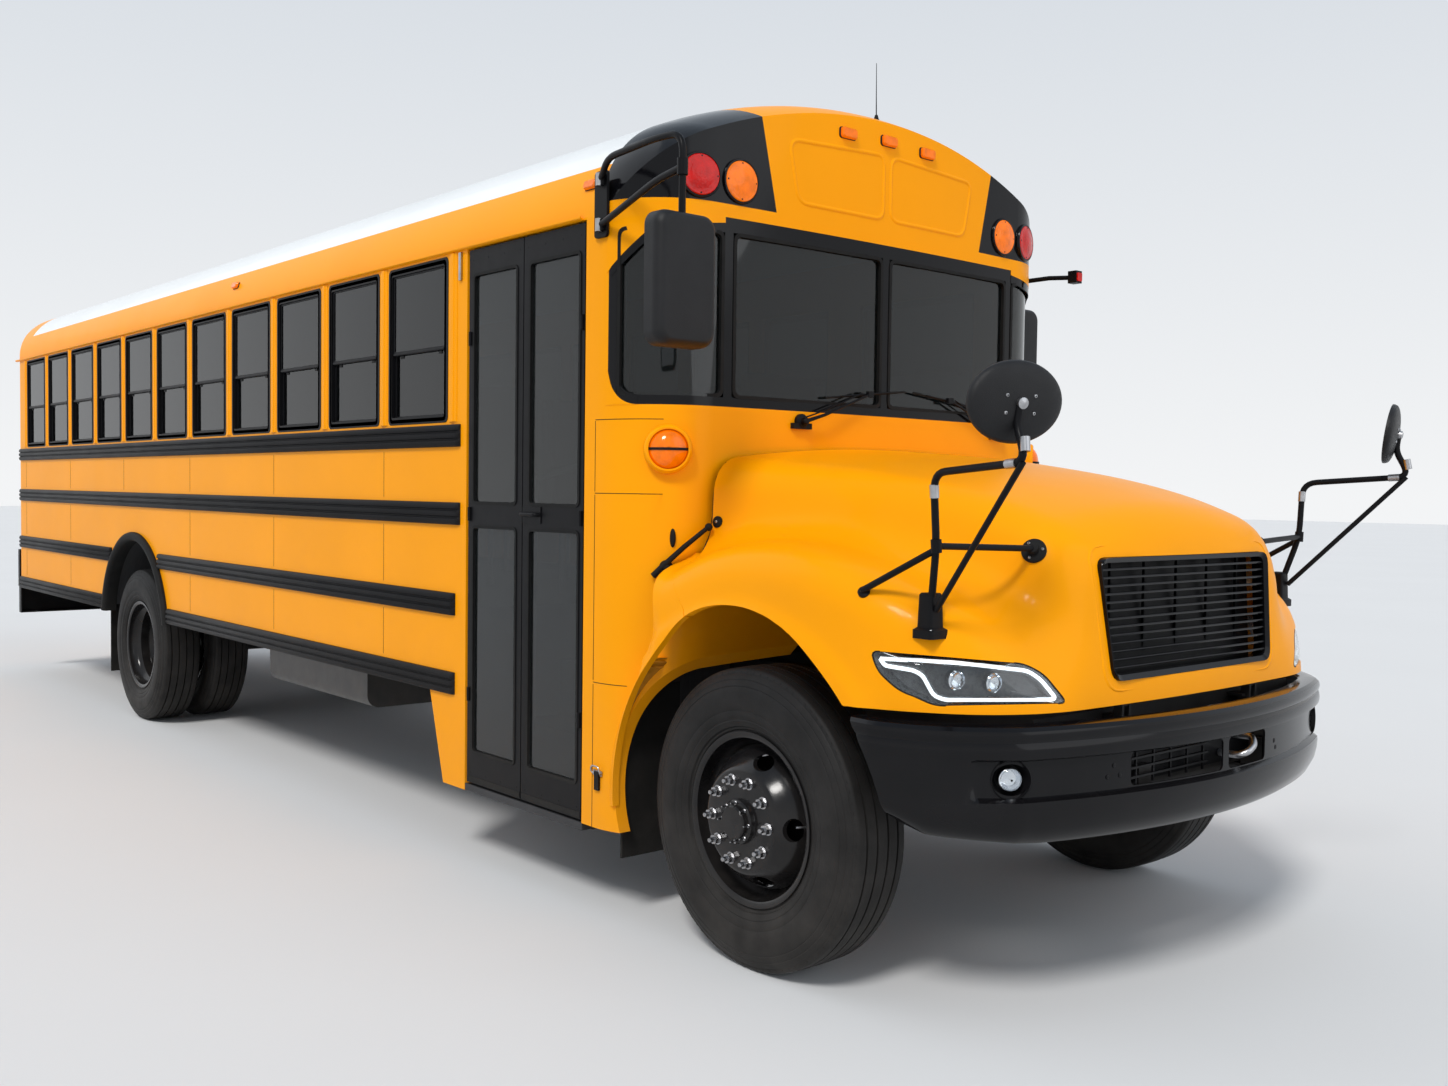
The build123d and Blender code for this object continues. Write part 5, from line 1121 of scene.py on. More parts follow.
# Wipers parked along the foot of the windshield
s = Shape(black, rubber)
for pivot_y, sweep in ((-0.479, 1), (0.773, -1)):
    run = run_of(abs(pivot_y)) * (1 if pivot_y > 0 else -1)

    def at(way, z, off):
        """A place before the glass, by distance along the wiper's sweep."""
        return Vector((*front_at(run + way * sweep, -off), z))

    foot = at(0, 1.935, 0.004)
    nrm = (at(0, 1.935, 0.05) - foot).normalized()
    s.lathe([(0.030, -0.006), (0.030, 0.010), (0.024, 0.016), (0.016, 0.018), (0.014, 0.036), (0.010, 0.040),
             (0.0001, 0.041), (0.0001, -0.006)], foot, nrm, 24, 0)
    s.box(foot.x - 0.010, foot.x + 0.014, foot.y - 0.050, foot.y + 0.050, 1.905, 1.928, 1)
    tip = at(0.37, 2.062, 0.026)
    s.tube([foot + nrm * 0.030, at(0.10, 1.965, 0.040), tip], lambda t: 0.0085 - 0.004 * t, 10, 0)
    s.tube([foot + nrm * 0.022 + Vector((0, 0, 0.014)), at(0.10, 1.982, 0.034), at(0.33, 2.066, 0.022)], 0.0032, 8, 0)
    blade = [at(0.13 + 0.47 * k / 12, 2.036 + 0.050 * k / 12, 0.0095) for k in range(13)]
    s.tube(blade, 0.0048, 8, 1)
    s.tube([p + nrm * 0.008 + Vector((0, 0, 0.001)) for p in blade[2:-2]], 0.0036, 8, 0)
    s.box(tip.x - 0.010, tip.x + 0.006, tip.y - 0.016, tip.y + 0.016, tip.z - 0.012, tip.z + 0.012, 0)
s.obj("wipers", "bus", 35, slot="black_trim")

# Side windows
s = Shape(black, rubber)
# Panes in the near-black glass, whose tint also carries painted shade of the interior
g = Shape(glass)


def sash(shape, x0, x1, y, out, z0, z1, border, depth, radius):
    """A rounded frame in the side, carried inwards by its depth."""
    o = [(x, y, z) for x, z in rrect(x0, x1, z0, z1, radius)]
    inner_r = max(radius - border * 0.5, 0.006)
    i = [(x, y, z) for x, z in rrect(x0 + border, x1 - border, z0 + border, z1 - border, inner_r)]
    shape.ring(o, i, (0, -out * depth, 0))


def side_window(x0, x1, out):
    """One side window: bead, frame, two sashes with their panes and latches."""
    mid = 2.288
    sash(s, x0 - 0.014, x1 + 0.014, out * (half + 0.0025), out, win_z0 - 0.006, win_z1 + 0.008, 0.036, 0.0035, 0.026)
    sash(s, x0 + 0.001, x1 - 0.001, out * (half + 0.0025), out, win_z0 + 0.001, win_z1 - 0.001, 0.020, 0.034, 0.022)
    for depth, z0, z1 in ((0.005, mid - 0.016, win_z1 - 0.017), (0.016, win_z0 + 0.017, mid + 0.012)):
        sash(s, x0 + 0.017, x1 - 0.017, out * (half - depth), out, z0, z1, 0.019, 0.010, 0.016)
    s.box(x0 + 0.030, x1 - 0.030, out * (half - 0.005), out * (half - 0.001), mid - 0.014, mid - 0.004)
    for e in (x0 + 0.09, x1 - 0.09):
        s.box(e - 0.016, e + 0.016, out * (half - 0.016), out * (half - 0.028), mid - 0.030, mid - 0.016)
    for depth, z0, z1 in ((0.009, mid - 0.004, win_z1 - 0.030), (0.0195, win_z0 + 0.030, mid + 0.004)):
        g.box(x0 + 0.030, x1 - 0.030, out * (half - depth), out * (half - depth - 0.0035), z0, z1)


for k in range(win_count):
    x1 = win_front - win_pitch * k
    for out in (-1, 1):
        side_window(x1 - win_width, x1, out)
side_window(driver_x0, driver_x1, 1)
# Windows in the rear wall
for m in (-1, 1):
    y0, y1 = sorted((m * 0.470, m * 1.010))
    z1 = win_z1 - 0.04
    o, i = ([(wall_x - 0.0025, y, z) for y, z in rrect(y0 + d, y1 - d, win_z0 + d, z1 - d, r)]
            for d, r in ((0.001, 0.05), (0.026, 0.04)))
    s.ring(o, i, (0.034, 0, 0), 1)
    g.box(wall_x + 0.018, wall_x + 0.0225, y0 + 0.020, y1 - 0.020, win_z0 + 0.020, z1 - 0.020)
s.obj("window_sashes", "bus", 30, bevel=0.0016, segments=1, replaces=("window_frames",), slot="black_trim")
g.obj("window_panes", "bus", 30, slot="tinted_glass")

# Rub rails
s = Shape(rail)
rail_sec = [(0.0005, 0.000), (0.012, 0.001), (0.017, 0.006), (0.021, 0.016), (0.0215, 0.021), (0.020, 0.027),
            (0.012, 0.031), (0.012, 0.036), (0.020, 0.040), (0.0218, 0.046)]
rail_sec += [(d, 0.100 - h) for d, h in rail_sec[::-1]]


def rub_rail(x0, x1, head, out):
    """One ribbed rail, drawn in at its ends."""
    rows = []
    mid = head - 0.050
    for x, k in ((x0, 0.15), (x0 + 0.006, 0.75), (x0 + 0.014, 1.0), (x1 - 0.014, 1.0), (x1 - 0.006, 0.75), (x1, 0.15)):
        tall = 0.97 + 0.03 * k
        rows.append([(x, out * (half + 0.0003 + d * k), mid + (h - 0.050) * tall) for d, h in rail_sec])
    s.grid(rows, 0)
    s.ends(rows)


post_x = wall_x + 0.120
for out in (-1, 1):
    for head in (1.934, 1.588, 1.184, 0.830):
        above_arch = head > 1.5
        x_front = door_x - (0.050 if above_arch else 0.090)
        spans = [(post_x, door_x + 0.033 - 0.53 if out > 0 else x_front)]
        if not above_arch:
            dz = head - 0.05 - rear_arch_z
            reach = math.sqrt((rear_arch_r + 0.006) ** 2 - min(abs(dz) - 0.05, 0.6) ** 2)
            spans = [(post_x - 0.010, rax - reach), (rax + reach, x_front)]
        for a, b in spans:
            rub_rail(a, b, head, out)
            count = max(int((b - a) / 0.45), 2)
            for k in range(count):
                screw_x = a + 0.06 + (b - a - 0.12) * k / (count - 1)
                for h in (0.0335, 0.0665):
                    s.stud((screw_x, out * (half + 0.0120), head - 0.100 + h), (0, out, 0), 0.0042, 0.0022)
s.obj("rail_ribs", "bus", 35, replaces=("rub_rails",), slot="black_trim")

# Caps on the posts between the windows, panel joints and their rivets
s = Shape(yellow, rubber)
cap_sec = [(-0.033, 0.0003), (-0.031, 0.0035), (-0.014, 0.0055), (-0.010, 0.0100), (0.010, 0.0100), (0.014, 0.0055),
           (0.031, 0.0035), (0.033, 0.0003)]
joint_xs = [win_front + (win_pitch - win_width) / 2 - win_pitch * k for k in range(win_count + 1)]
for out in (-1, 1):
    for x in joint_xs:
        rows = [[(x + a, out * (half + d), z) for a, d in cap_sec] for z in (win_z0 - 0.004, drip_z - 0.004)]
        s.grid(rows, 0)
        s.ends(rows)
        for z in np.linspace(win_z0 + 0.03, drip_z - 0.05, 8):
            s.stud((x, out * (half + 0.0100), float(z)), (0, out, 0), 0.0040, 0.0018, back=0.001)
    for lo, hi in ((1.604, 1.820), (1.200, 1.474), (0.846, 1.070)):
        for x in joint_xs[1::2]:
            if abs(x - rax) < 0.74 and lo < 1.5:
                continue
            s.box(x - 0.0015, x + 0.0015, out * (half - 0.001), out * (half + 0.0006), lo, hi, 1)
            for z in np.arange(lo + 0.02, hi, 0.055):
                for e in (-0.014, 0.014):
                    s.stud((x + e, out * half, float(z)), (0, out, 0), 0.0038, 0.0016, back=0.001)
    for z in (1.592, 1.830, 1.944):
        for x in np.arange(post_x + 0.04, door_x - 0.10, 0.0835):
            s.stud((float(x), out * half, z), (0, out, 0), 0.0036, 0.0014, rings=1, back=0.001)
    gutter = [(0.0005, 0.000), (0.014, 0.002), (0.018, 0.006), (0.018, 0.014), (0.015, 0.014), (0.014, 0.008),
              (0.0005, 0.006)]
    rows = [[(x, out * (half + d), drip_z + h) for d, h in gutter] for x in (wall_x + 0.02, pillar_x - 0.02)]
    s.grid(rows, 0, close_v=True)
    s.ends(rows)
s.obj("side_seams", "bus", 40, slot="body_yellow")

# Rubber round the rear arches
s = Shape(rubber)
arch_sec = [(0.702, 0.001), (0.703, 0.012), (0.699, 0.024), (0.688, 0.031), (0.672, 0.0335), (0.656, 0.030),
            (0.646, 0.020), (0.642, 0.004), (0.641, -0.062), (0.646, -0.062), (0.650, -0.004), (0.655, -0.002)]
for out in (-1, 1):
    rows = []
    a0 = math.asin((0.722 - rear_arch_z) / rear_arch_r)
    for i in range(73):
        a = a0 + (math.pi - 2 * a0) * i / 72
        rows.append([(rax + r * math.cos(a), out * (half + d), rear_arch_z + r * math.sin(a)) for r, d in arch_sec])
    s.grid(rows, 0, close_v=True)
    s.ends(rows)
s.obj("arch_trim", "bus", 40, replaces=("arch_rubbers",), slot="black_rubber")

# Front bumper
bx = fax + 1.170


def bumper_line():
    """The bumper's outer line seen from above, right half first."""
    pts = [(fax + 0.30, -1.208), (bx - 0.62, -1.212)]
    bend = ((0.56, -1.213), (0.40, -1.185), (0.285, -1.085), (0.190, -0.960))
    a, b, c, d = (Vector((bx - back, y)) for back, y in bend)
    for i in range(25):
        t = i / 24
        p = a * (1 - t) ** 3 + b * 3 * t * (1 - t) ** 2 + c * 3 * t * t * (1 - t) + d * t ** 3
        pts.append((p.x, p.y))
    front_r = (0.93 ** 2 + 0.17 ** 2) / (2 * 0.17)
    for i in range(1, 40):
        y = -0.960 + 0.960 * i / 40
        pts.append((bx - 0.0006 - front_r + math.sqrt(front_r * front_r - y * y), y))
    return pts + [(bx - 0.0006, 0.0)] + [(x, -y) for x, y in pts[::-1]]


b_line = [Vector((x, y, 0)) for x, y in bumper_line()]
b_norm = []
for i, p in enumerate(b_line):
    d = (b_line[min(i + 1, len(b_line) - 1)] - b_line[max(i - 1, 0)]).normalized()
    b_norm.append(Vector((d.y, -d.x, 0)))
b_run = path_run([(p.x, p.y) for p in b_line])


def bumper_section(run):
    """Depth behind the line, and height, of the bumper's skin."""
    w = abs(run)
    foot = float(np.interp(w, [0, 0.85, 1.25, 1.42, 1.75], [0.596, 0.597, 0.622, 0.680, 0.730]))
    band = 0.003 + 0.020 * min(max((1.13 - w) / 0.05, 0), 1)
    drop = foot - 0.596
    return [(0.080, 0.9555), (0.070, 0.9635), (0.040, 0.9645), (0.016, 0.961), (0.004, 0.950), (0.0005, 0.934),
            (0.003, 0.921), (0.0055, 0.915), (0.0015, 0.905), (0.0, 0.890), (0.001, 0.874), (0.003, 0.866),
            (band, 0.857), (band, 0.800), (band, 0.748), (0.004, 0.736), (0.003, 0.722), (0.005, 0.690 + drop * 0.3),
            (0.013, 0.650 + drop * 0.6), (0.030, 0.615 + drop * 0.9), (0.052, foot + 0.001), (0.075, foot + 0.003)]


def offset_line(line, d):
    """A line of two numbers moved to its right by d."""
    out = []
    for k, p in enumerate(line):
        a, b = line[max(k - 1, 0)], line[min(k + 1, len(line) - 1)]
        t = (b[0] - a[0], b[1] - a[1])
        n = math.hypot(*t)
        out.append((p[0] - t[1] / n * d, p[1] + t[0] / n * d))
    return out


s = Shape(gloss, black)
rows, back = [], []
for p, n, run in zip(b_line, b_norm, b_run):
    sec = bumper_section(run)
    rows.append([p - n * depth + Vector((0, 0, z)) for depth, z in sec])
    back.append([p - n * depth + Vector((0, 0, z)) for depth, z in offset_line(sec, 0.006)])
s.slab(rows, back, 0, 1)
bumper = s.obj("bumper_skin", "bus", 30, replaces=("front_bumper",), slot="gloss_black")
cutter = Shape(gloss)
arch_outline = [((arch_r + 0.002) * math.cos(t), axle_z + (arch_r + 0.002) * math.sin(t)) for t in turns(96)]
for side in (-1, 1):
    across(cutter, arch_outline, side, 1.30, 0.60)


def bumper_at(run, z):
    """A place on the bumper's line by distance from its middle, with its normal."""
    x, y = (np.interp(run, b_run, [p[k] for p in b_line]) for k in (0, 1))
    nx, ny = (np.interp(run, b_run, [p[k] for p in b_norm]) for k in (0, 1))
    return Vector((x, y, z)), Vector((nx, ny, 0)).normalized()


fog_places = [bumper_at(m * 0.985, 0.803) for m in (-1, 1)]
for p, n in fog_places:
    t = Vector((-n.y, n.x, 0))
    oval = [p + t * 0.060 * math.cos(a) + Vector((0, 0, 0.048 * math.sin(a))) for a in turns(32)]
    cutter.prism([q + n * 0.05 for q in oval], [q - n * 0.045 for q in oval])
for y0, y1 in ((-0.515, -0.050), (-0.015, 0.250)):
    sec = rrect(y0, y1, 0.752, 0.858, 0.018)
    cutter.prism([(bx + 0.1, y, z) for y, z in sec], [(bx - 0.12, y, z) for y, z in sec])
cut(bumper, cutter)
s = Shape(black, lens_clear, chrome, steel)
for p, n in fog_places:
    s.lathe([(0.062, -0.020), (0.0595, -0.018), (0.050, -0.050), (0.040, -0.062), (0.0001, -0.062), (0.0001, -0.068),
             (0.062, -0.060)], p, n, 40, 0)
    q = p - n * 0.030
    s.lathe([(0.036, -0.02), (0.036, 0.002), (0.0335, 0.004), (0.030, -0.004), (0.018, -0.016), (0.0001, -0.019)],
            q, n, 32, 2)
    s.dome(q + n * 0.003, n, 0.0335, 0.011, seg=32, mat=1, back=0.002)
hook = 0.135
s.tube([(bx - 0.120, hook - 0.040, 0.780), (bx - 0.050, hook - 0.040, 0.780), (bx - 0.026, hook - 0.020, 0.792),
        (bx - 0.022, hook + 0.014, 0.812), (bx - 0.040, hook + 0.034, 0.836), (bx - 0.120, hook + 0.034, 0.836)],
       0.012, 12, 3, bend=0.014)
for k in range(5):
    y = -0.48 + 0.1 * k
    s.box(bx - 0.085, bx - 0.078, y - 0.003, y + 0.003, 0.750, 0.860, 0)
for z in (0.775, 0.805, 0.835):
    s.box(bx - 0.088, bx - 0.076, -0.512, -0.055, z - 0.0035, z + 0.0035, 0)
s.box(bx - 0.130, bx - 0.122, -0.520, 0.300, 0.745, 0.865, 0)
for y, z in ((-0.585, 0.822), (-0.560, 0.790), (-0.610, 0.788), (0.330, 0.805), (0.345, 0.780)):
    x_at = bx - 0.0232 - 0.1966 * y * y
    s.lathe([(0.008, -0.003), (0.008, 0.0012), (0.005, 0.002), (0.0001, 0.002), (0.0001, -0.003)],
            (x_at, y, z), (1, 0, 0), 16, 0)
s.obj("bumper_fittings", "bus", 35)

# Lamps on the body
cap_trees = [tree("front_cap"), tree("cap_lamp_panels"), tree("roof_coves"), tree("cowl")]


def outermost(origin, direction):
    """Where a ray first meets the body, with the normal against the ray."""
    best = None
    for t in cap_trees:
        p, n, _, distance = t.ray_cast(Vector(origin), Vector(direction))
        if p is not None and (best is None or distance < best[2]):
            best = (p, n if n.dot(Vector(direction)) < 0 else -n, distance)
    return best[:2]


def from_front(y, z):
    """The foremost place of the body at y and z, with its normal."""
    return outermost((6.0, y, z), (-1, 0, 0))


def from_side(x, z, out):
    """The outermost place of the body's side at x and z, with its normal."""
    return outermost((x, out * 3, z), (0, -out, 0))


def round_lamp(shape, p, n, r, lens, bezel=1, bulge=0.011):
    """A lens in a bezel, with its screws."""
    shape.lathe([(r * 1.10, -0.012), (r * 1.10, 0.003), (r * 1.07, 0.007), (r * 1.0, 0.008), (r * 0.98, 0.003),
                 (r * 0.98, -0.012)], p, n, 48, bezel)
    shape.lathe([(r * 0.975, -0.010), (r * 0.975, 0.007), (r * 0.93, 0.010), (r * 0.90, 0.0095),
                 (r * 0.6, 0.0095 + bulge * 0.6), (r * 0.3, 0.0095 + bulge * 0.9), (0.0001, 0.0095 + bulge),
                 (0.0001, -0.010)], p, n, 48, lens)
    u = n.orthogonal().normalized()
    w = n.cross(u)
    for k in range(4):
        a = math.pi / 4 + k * math.pi / 2
        shape.stud(p + n * 0.0095 + (u * math.cos(a) + w * math.sin(a)) * r * 0.86, n, 0.0045, 0.002, mat=bezel)


def marker(shape, p, n, u, w, outline, layers):
    """A small lamp along n: a rubber foot and its lens, each drawn in at the top."""
    for size, low, high, mat in layers:
        rows = [[p + u * a * size * wide + w * b * size * tall + n * h for a, b in outline]
                for wide, tall, h in ((1, 1, low), (1, 1, high - 0.006), (0.86, 0.80, high))]
        shape.grid(rows, mat, close_v=True)
        shape.add(rows[-1], [tuple(range(len(outline)))], mat)


# Round lamps: the front's y, then y, z and radius of those at the rear
back_n = Vector((-1, 0, 0))
round_lamps = (("red", red_lens, 0.985, ((0.960, 2.790, 0.074), (0.960, 1.740, 0.086))),
               ("amber", amber_lens, 0.800, ((0.784, 2.790, 0.074), (0.960, 1.500, 0.086))))
for color, lens, front_y, rear in round_lamps:
    s = Shape(lens, gloss, rubber, yellow)
    for out in (-1, 1):
        p, n = from_front(out * front_y, 2.832)
        round_lamp(s, p + n * 0.002, n, 0.078, 0)
        for y, z, r in rear:
            round_lamp(s, Vector((wall_x - 0.010, out * y, z)), back_n, r, 0)
    if color == "red":
        for y in (-0.242, 0, 0.242):
            sec = rrect(y - 0.045, y + 0.045, 2.987, 3.013, 0.010)
            s.prism([(wall_x, a, b) for a, b in sec], [(wall_x - 0.014, a, b) for a, b in sec], 0)
    else:
        for y, z in ((-0.242, 3.110), (0, 3.120), (0.242, 3.110)):
            p, n = from_front(y, z)
            u = (Vector((0, 1, 0)) - n * n.y).normalized()
            w = n.cross(u) * (1 if n.cross(u).z > 0 else -1)
            marker(s, p, n, u, w, rrect(-0.050, 0.050, -0.024, 0.024, 0.014),
                   ((1.0, -0.006, 0.005, 2), (0.86, 0.0, 0.020, 0)))
        for out in (-1, 1):
            for x in (roof_end_x - 0.085, fax - 4.514):
                p, n = from_side(x, 2.822, out)
                w = Vector((0, -n.z * out, abs(n.y))).normalized()
                marker(s, p, n, Vector((1, 0, 0)), w, rrect(-0.045, 0.045, -0.020, 0.020, 0.012),
                       ((1.0, -0.004, 0.005, 2), (0.85, 0.0, 0.019, 0)))
    s.obj(f"{color}_round_lamps", "bus", 35, replaces=(f"{color}_lamps",), slot=f"lamp_{color}")

# Turn lamps: a ball lens with a dark band, in a round painted housing
s = Shape(amber_lens, rubber, yellow)
for out in (-1, 1):
    run = run_of(1.085) * out
    x, y = front_at(run)
    x1, y1 = front_at(run, -0.05)
    n = Vector((x1 - x, y1 - y, 0)).normalized()
    p = Vector((x, y, 1.808))
    s.lathe([(0.093, -0.012), (0.092, 0.018), (0.088, 0.034), (0.081, 0.040), (0.075, 0.039), (0.073, 0.024),
             (0.073, -0.012)], p, n, 48, 2)
    p = p + n * 0.012
    s.dome(p + n * 0.010, n, 0.073, 0.044, seg=40, mat=0, rings=9, back=0.01)
    t = Vector((-n.y, n.x, 0))
    rows = []
    band = Vector((0, 0, 0.005))
    for i in range(25):
        a = math.pi * i / 24
        q = p + n * 0.010 + t * 0.0745 * math.cos(a) + n * 0.0455 * math.sin(a)
        o = (t * math.cos(a) + n * math.sin(a)) * 0.0015
        rows.append([q + o + band, q + o - band, q - o * 2 - band, q - o * 2 + band])
    s.grid(rows, 1, close_v=True)
s.obj("turn_lamps", "bus", 40, slot="lamp_amber")

# Front cap: a pressed panel in two fields
s = Shape(yellow)


def cap_bead(line):
    """A raised line along the cap, through places in y and z."""
    width, height = 0.010, 0.004
    rows = []
    k = len(line)
    for i in range(k):
        a, b = np.array(line[(i - 1) % k]), np.array(line[(i + 1) % k])
        t = (b - a) / np.linalg.norm(b - a)
        m = np.array([-t[1], t[0]])
        row = []
        for off, h in ((-width, -0.001), (-width * 0.45, height * 0.9), (0, height), (width * 0.45, height * 0.9),
                       (width, -0.001)):
            y, z = np.array(line[i]) + m * off
            p, n = from_front(float(y), float(z))
            row.append(tuple(p + n * h))
        rows.append(row)
    s.grid(rows, 0, close_u=True)


for m in (-1, 1):
    field = [(0.022 * m, 2.795), (0.505 * m, 2.795), (0.555 * m, 3.035), (0.022 * m, 3.060)]
    dense = outline_path(field, 0.05, 6)
    line = []
    for a, b in zip(dense, dense[1:] + dense[:1]):
        steps = max(int(np.linalg.norm(np.array(b) - np.array(a)) / 0.03), 1)
        line += [tuple(np.array(a) * (1 - t / steps) + np.array(b) * (t / steps)) for t in range(steps)]
    cap_bead(line)
s.obj("cap_pressing", "bus", 70, slot="body_yellow")

# Mirrors
windshield_corner_x = pillar_x + 0.142
s = Shape(black, plastic, mirror_glass, amber_lens, red_lens, steel)
mount_x, head_z, arm_y = windshield_corner_x - 0.030, 2.365, half + 0.016
upper_z, lower_z = 2.820, 2.650
# Head's x and width, the arm's bend, the side, and where the upper and lower arm turn
mirrors = ((fax - 0.149, 0.256, fax - 0.300, -1, 0.12, -0.02), (fax - 0.790, 0.190, fax - 0.740, 1, -0.02, 0))
for hx, hw, bend_x, out, upper_turn, lower_turn in mirrors:
    hy = 1.468 - hw / 2
    y = out * hy
    plate = rrect(mount_x - 0.045, mount_x + 0.035, 2.605, 2.855, 0.015)
    s.prism([(a, out * half, b) for a, b in plate], [(a, out * (half + 0.012), b) for a, b in plate], 0)
    for z in (upper_z, lower_z):
        s.box(mount_x - 0.022, mount_x + 0.022, out * (half + 0.010), out * (half + 0.026), z - 0.022, z + 0.022, 0)
        s.rod((mount_x, out * (half + 0.024), z), (0, 0, 1), 0.013, 0.024, 12, 5)
    s.tube([(mount_x, out * arm_y, upper_z), (mount_x + upper_turn, out * (half + 0.07), 2.872), (bend_x, y, 2.868),
            (hx, y, 2.860), (hx, y, 2.58)], 0.0125, 14, 0, bend=0.07)
    s.tube([(mount_x, out * arm_y, lower_z), (bend_x + lower_turn, out * (hy - 0.02), 2.730), (hx, y, 2.745)],
           0.0125, 14, 0, bend=0.06)
    s.rod((hx, y, 2.745), (0, 0, 1), 0.019, 0.028, 16, 0)
    # Head: a deep rounded shell, its glass facing back
    rows = []
    for k in range(15):
        a = math.pi / 2 * k / 14
        f = 1 - 0.22 * (1 - math.cos(a))
        tall = 0.225 * (1 - 0.5 * (1 - f))
        sec = rrect(-hw / 2 * f, hw / 2 * f, -tall, tall, 0.050 * f, 8)
        rows.append([(hx + 0.002 + 0.050 * math.sin(a) * 0.85, y + b, head_z + c) for b, c in sec])
    rim_steps = ((0.040, 1, 1), (0.0445, 0.97, 0.985), (0.0445, 0.90, 0.95), (0.036, 0.89, 0.945))
    back_rows = [[(hx - back, y + (b - y) * wide, head_z + (c - head_z) * high) for _, b, c in rows[0]]
                 for back, wide, high in rim_steps]
    s.grid(back_rows[::-1] + rows, 1, close_v=True)
    s.ends([back_rows[-1], rows[-1]], 1)
    for lo, hi in ((-0.205, 0.045), (0.060, 0.205)):
        sec = rrect(-hw / 2 * 0.86, hw / 2 * 0.86, lo, hi, 0.022)
        s.prism(*([(hx - back, y + b, head_z + c) for b, c in sec] for back in (0.036, 0.0395)), 2)
p0 = Vector((windshield_corner_x, half + 0.014, 2.700))
p1 = Vector((fax - 0.425, 1.300, 2.700))
s.tube([p0, p0 * 0.4 + p1 * 0.6 + Vector((0, 0, 0.008)), p1], 0.011, 12, 0)
s.box(p1.x - 0.022, p1.x + 0.025, p1.y - 0.024, p1.y + 0.024, p1.z - 0.028, p1.z + 0.030, 0)
sec = rrect(p1.y - 0.018, p1.y + 0.018, p1.z - 0.020, p1.z + 0.020, 0.006)
s.prism([(p1.x + 0.024, a, b) for a, b in sec], [(p1.x + 0.031, a, b) for a, b in sec], 4)
s.obj("mirror_arms", "bus", 35, bevel=0.0015, segments=1, replaces=("side_mirrors",), slot="black_trim")

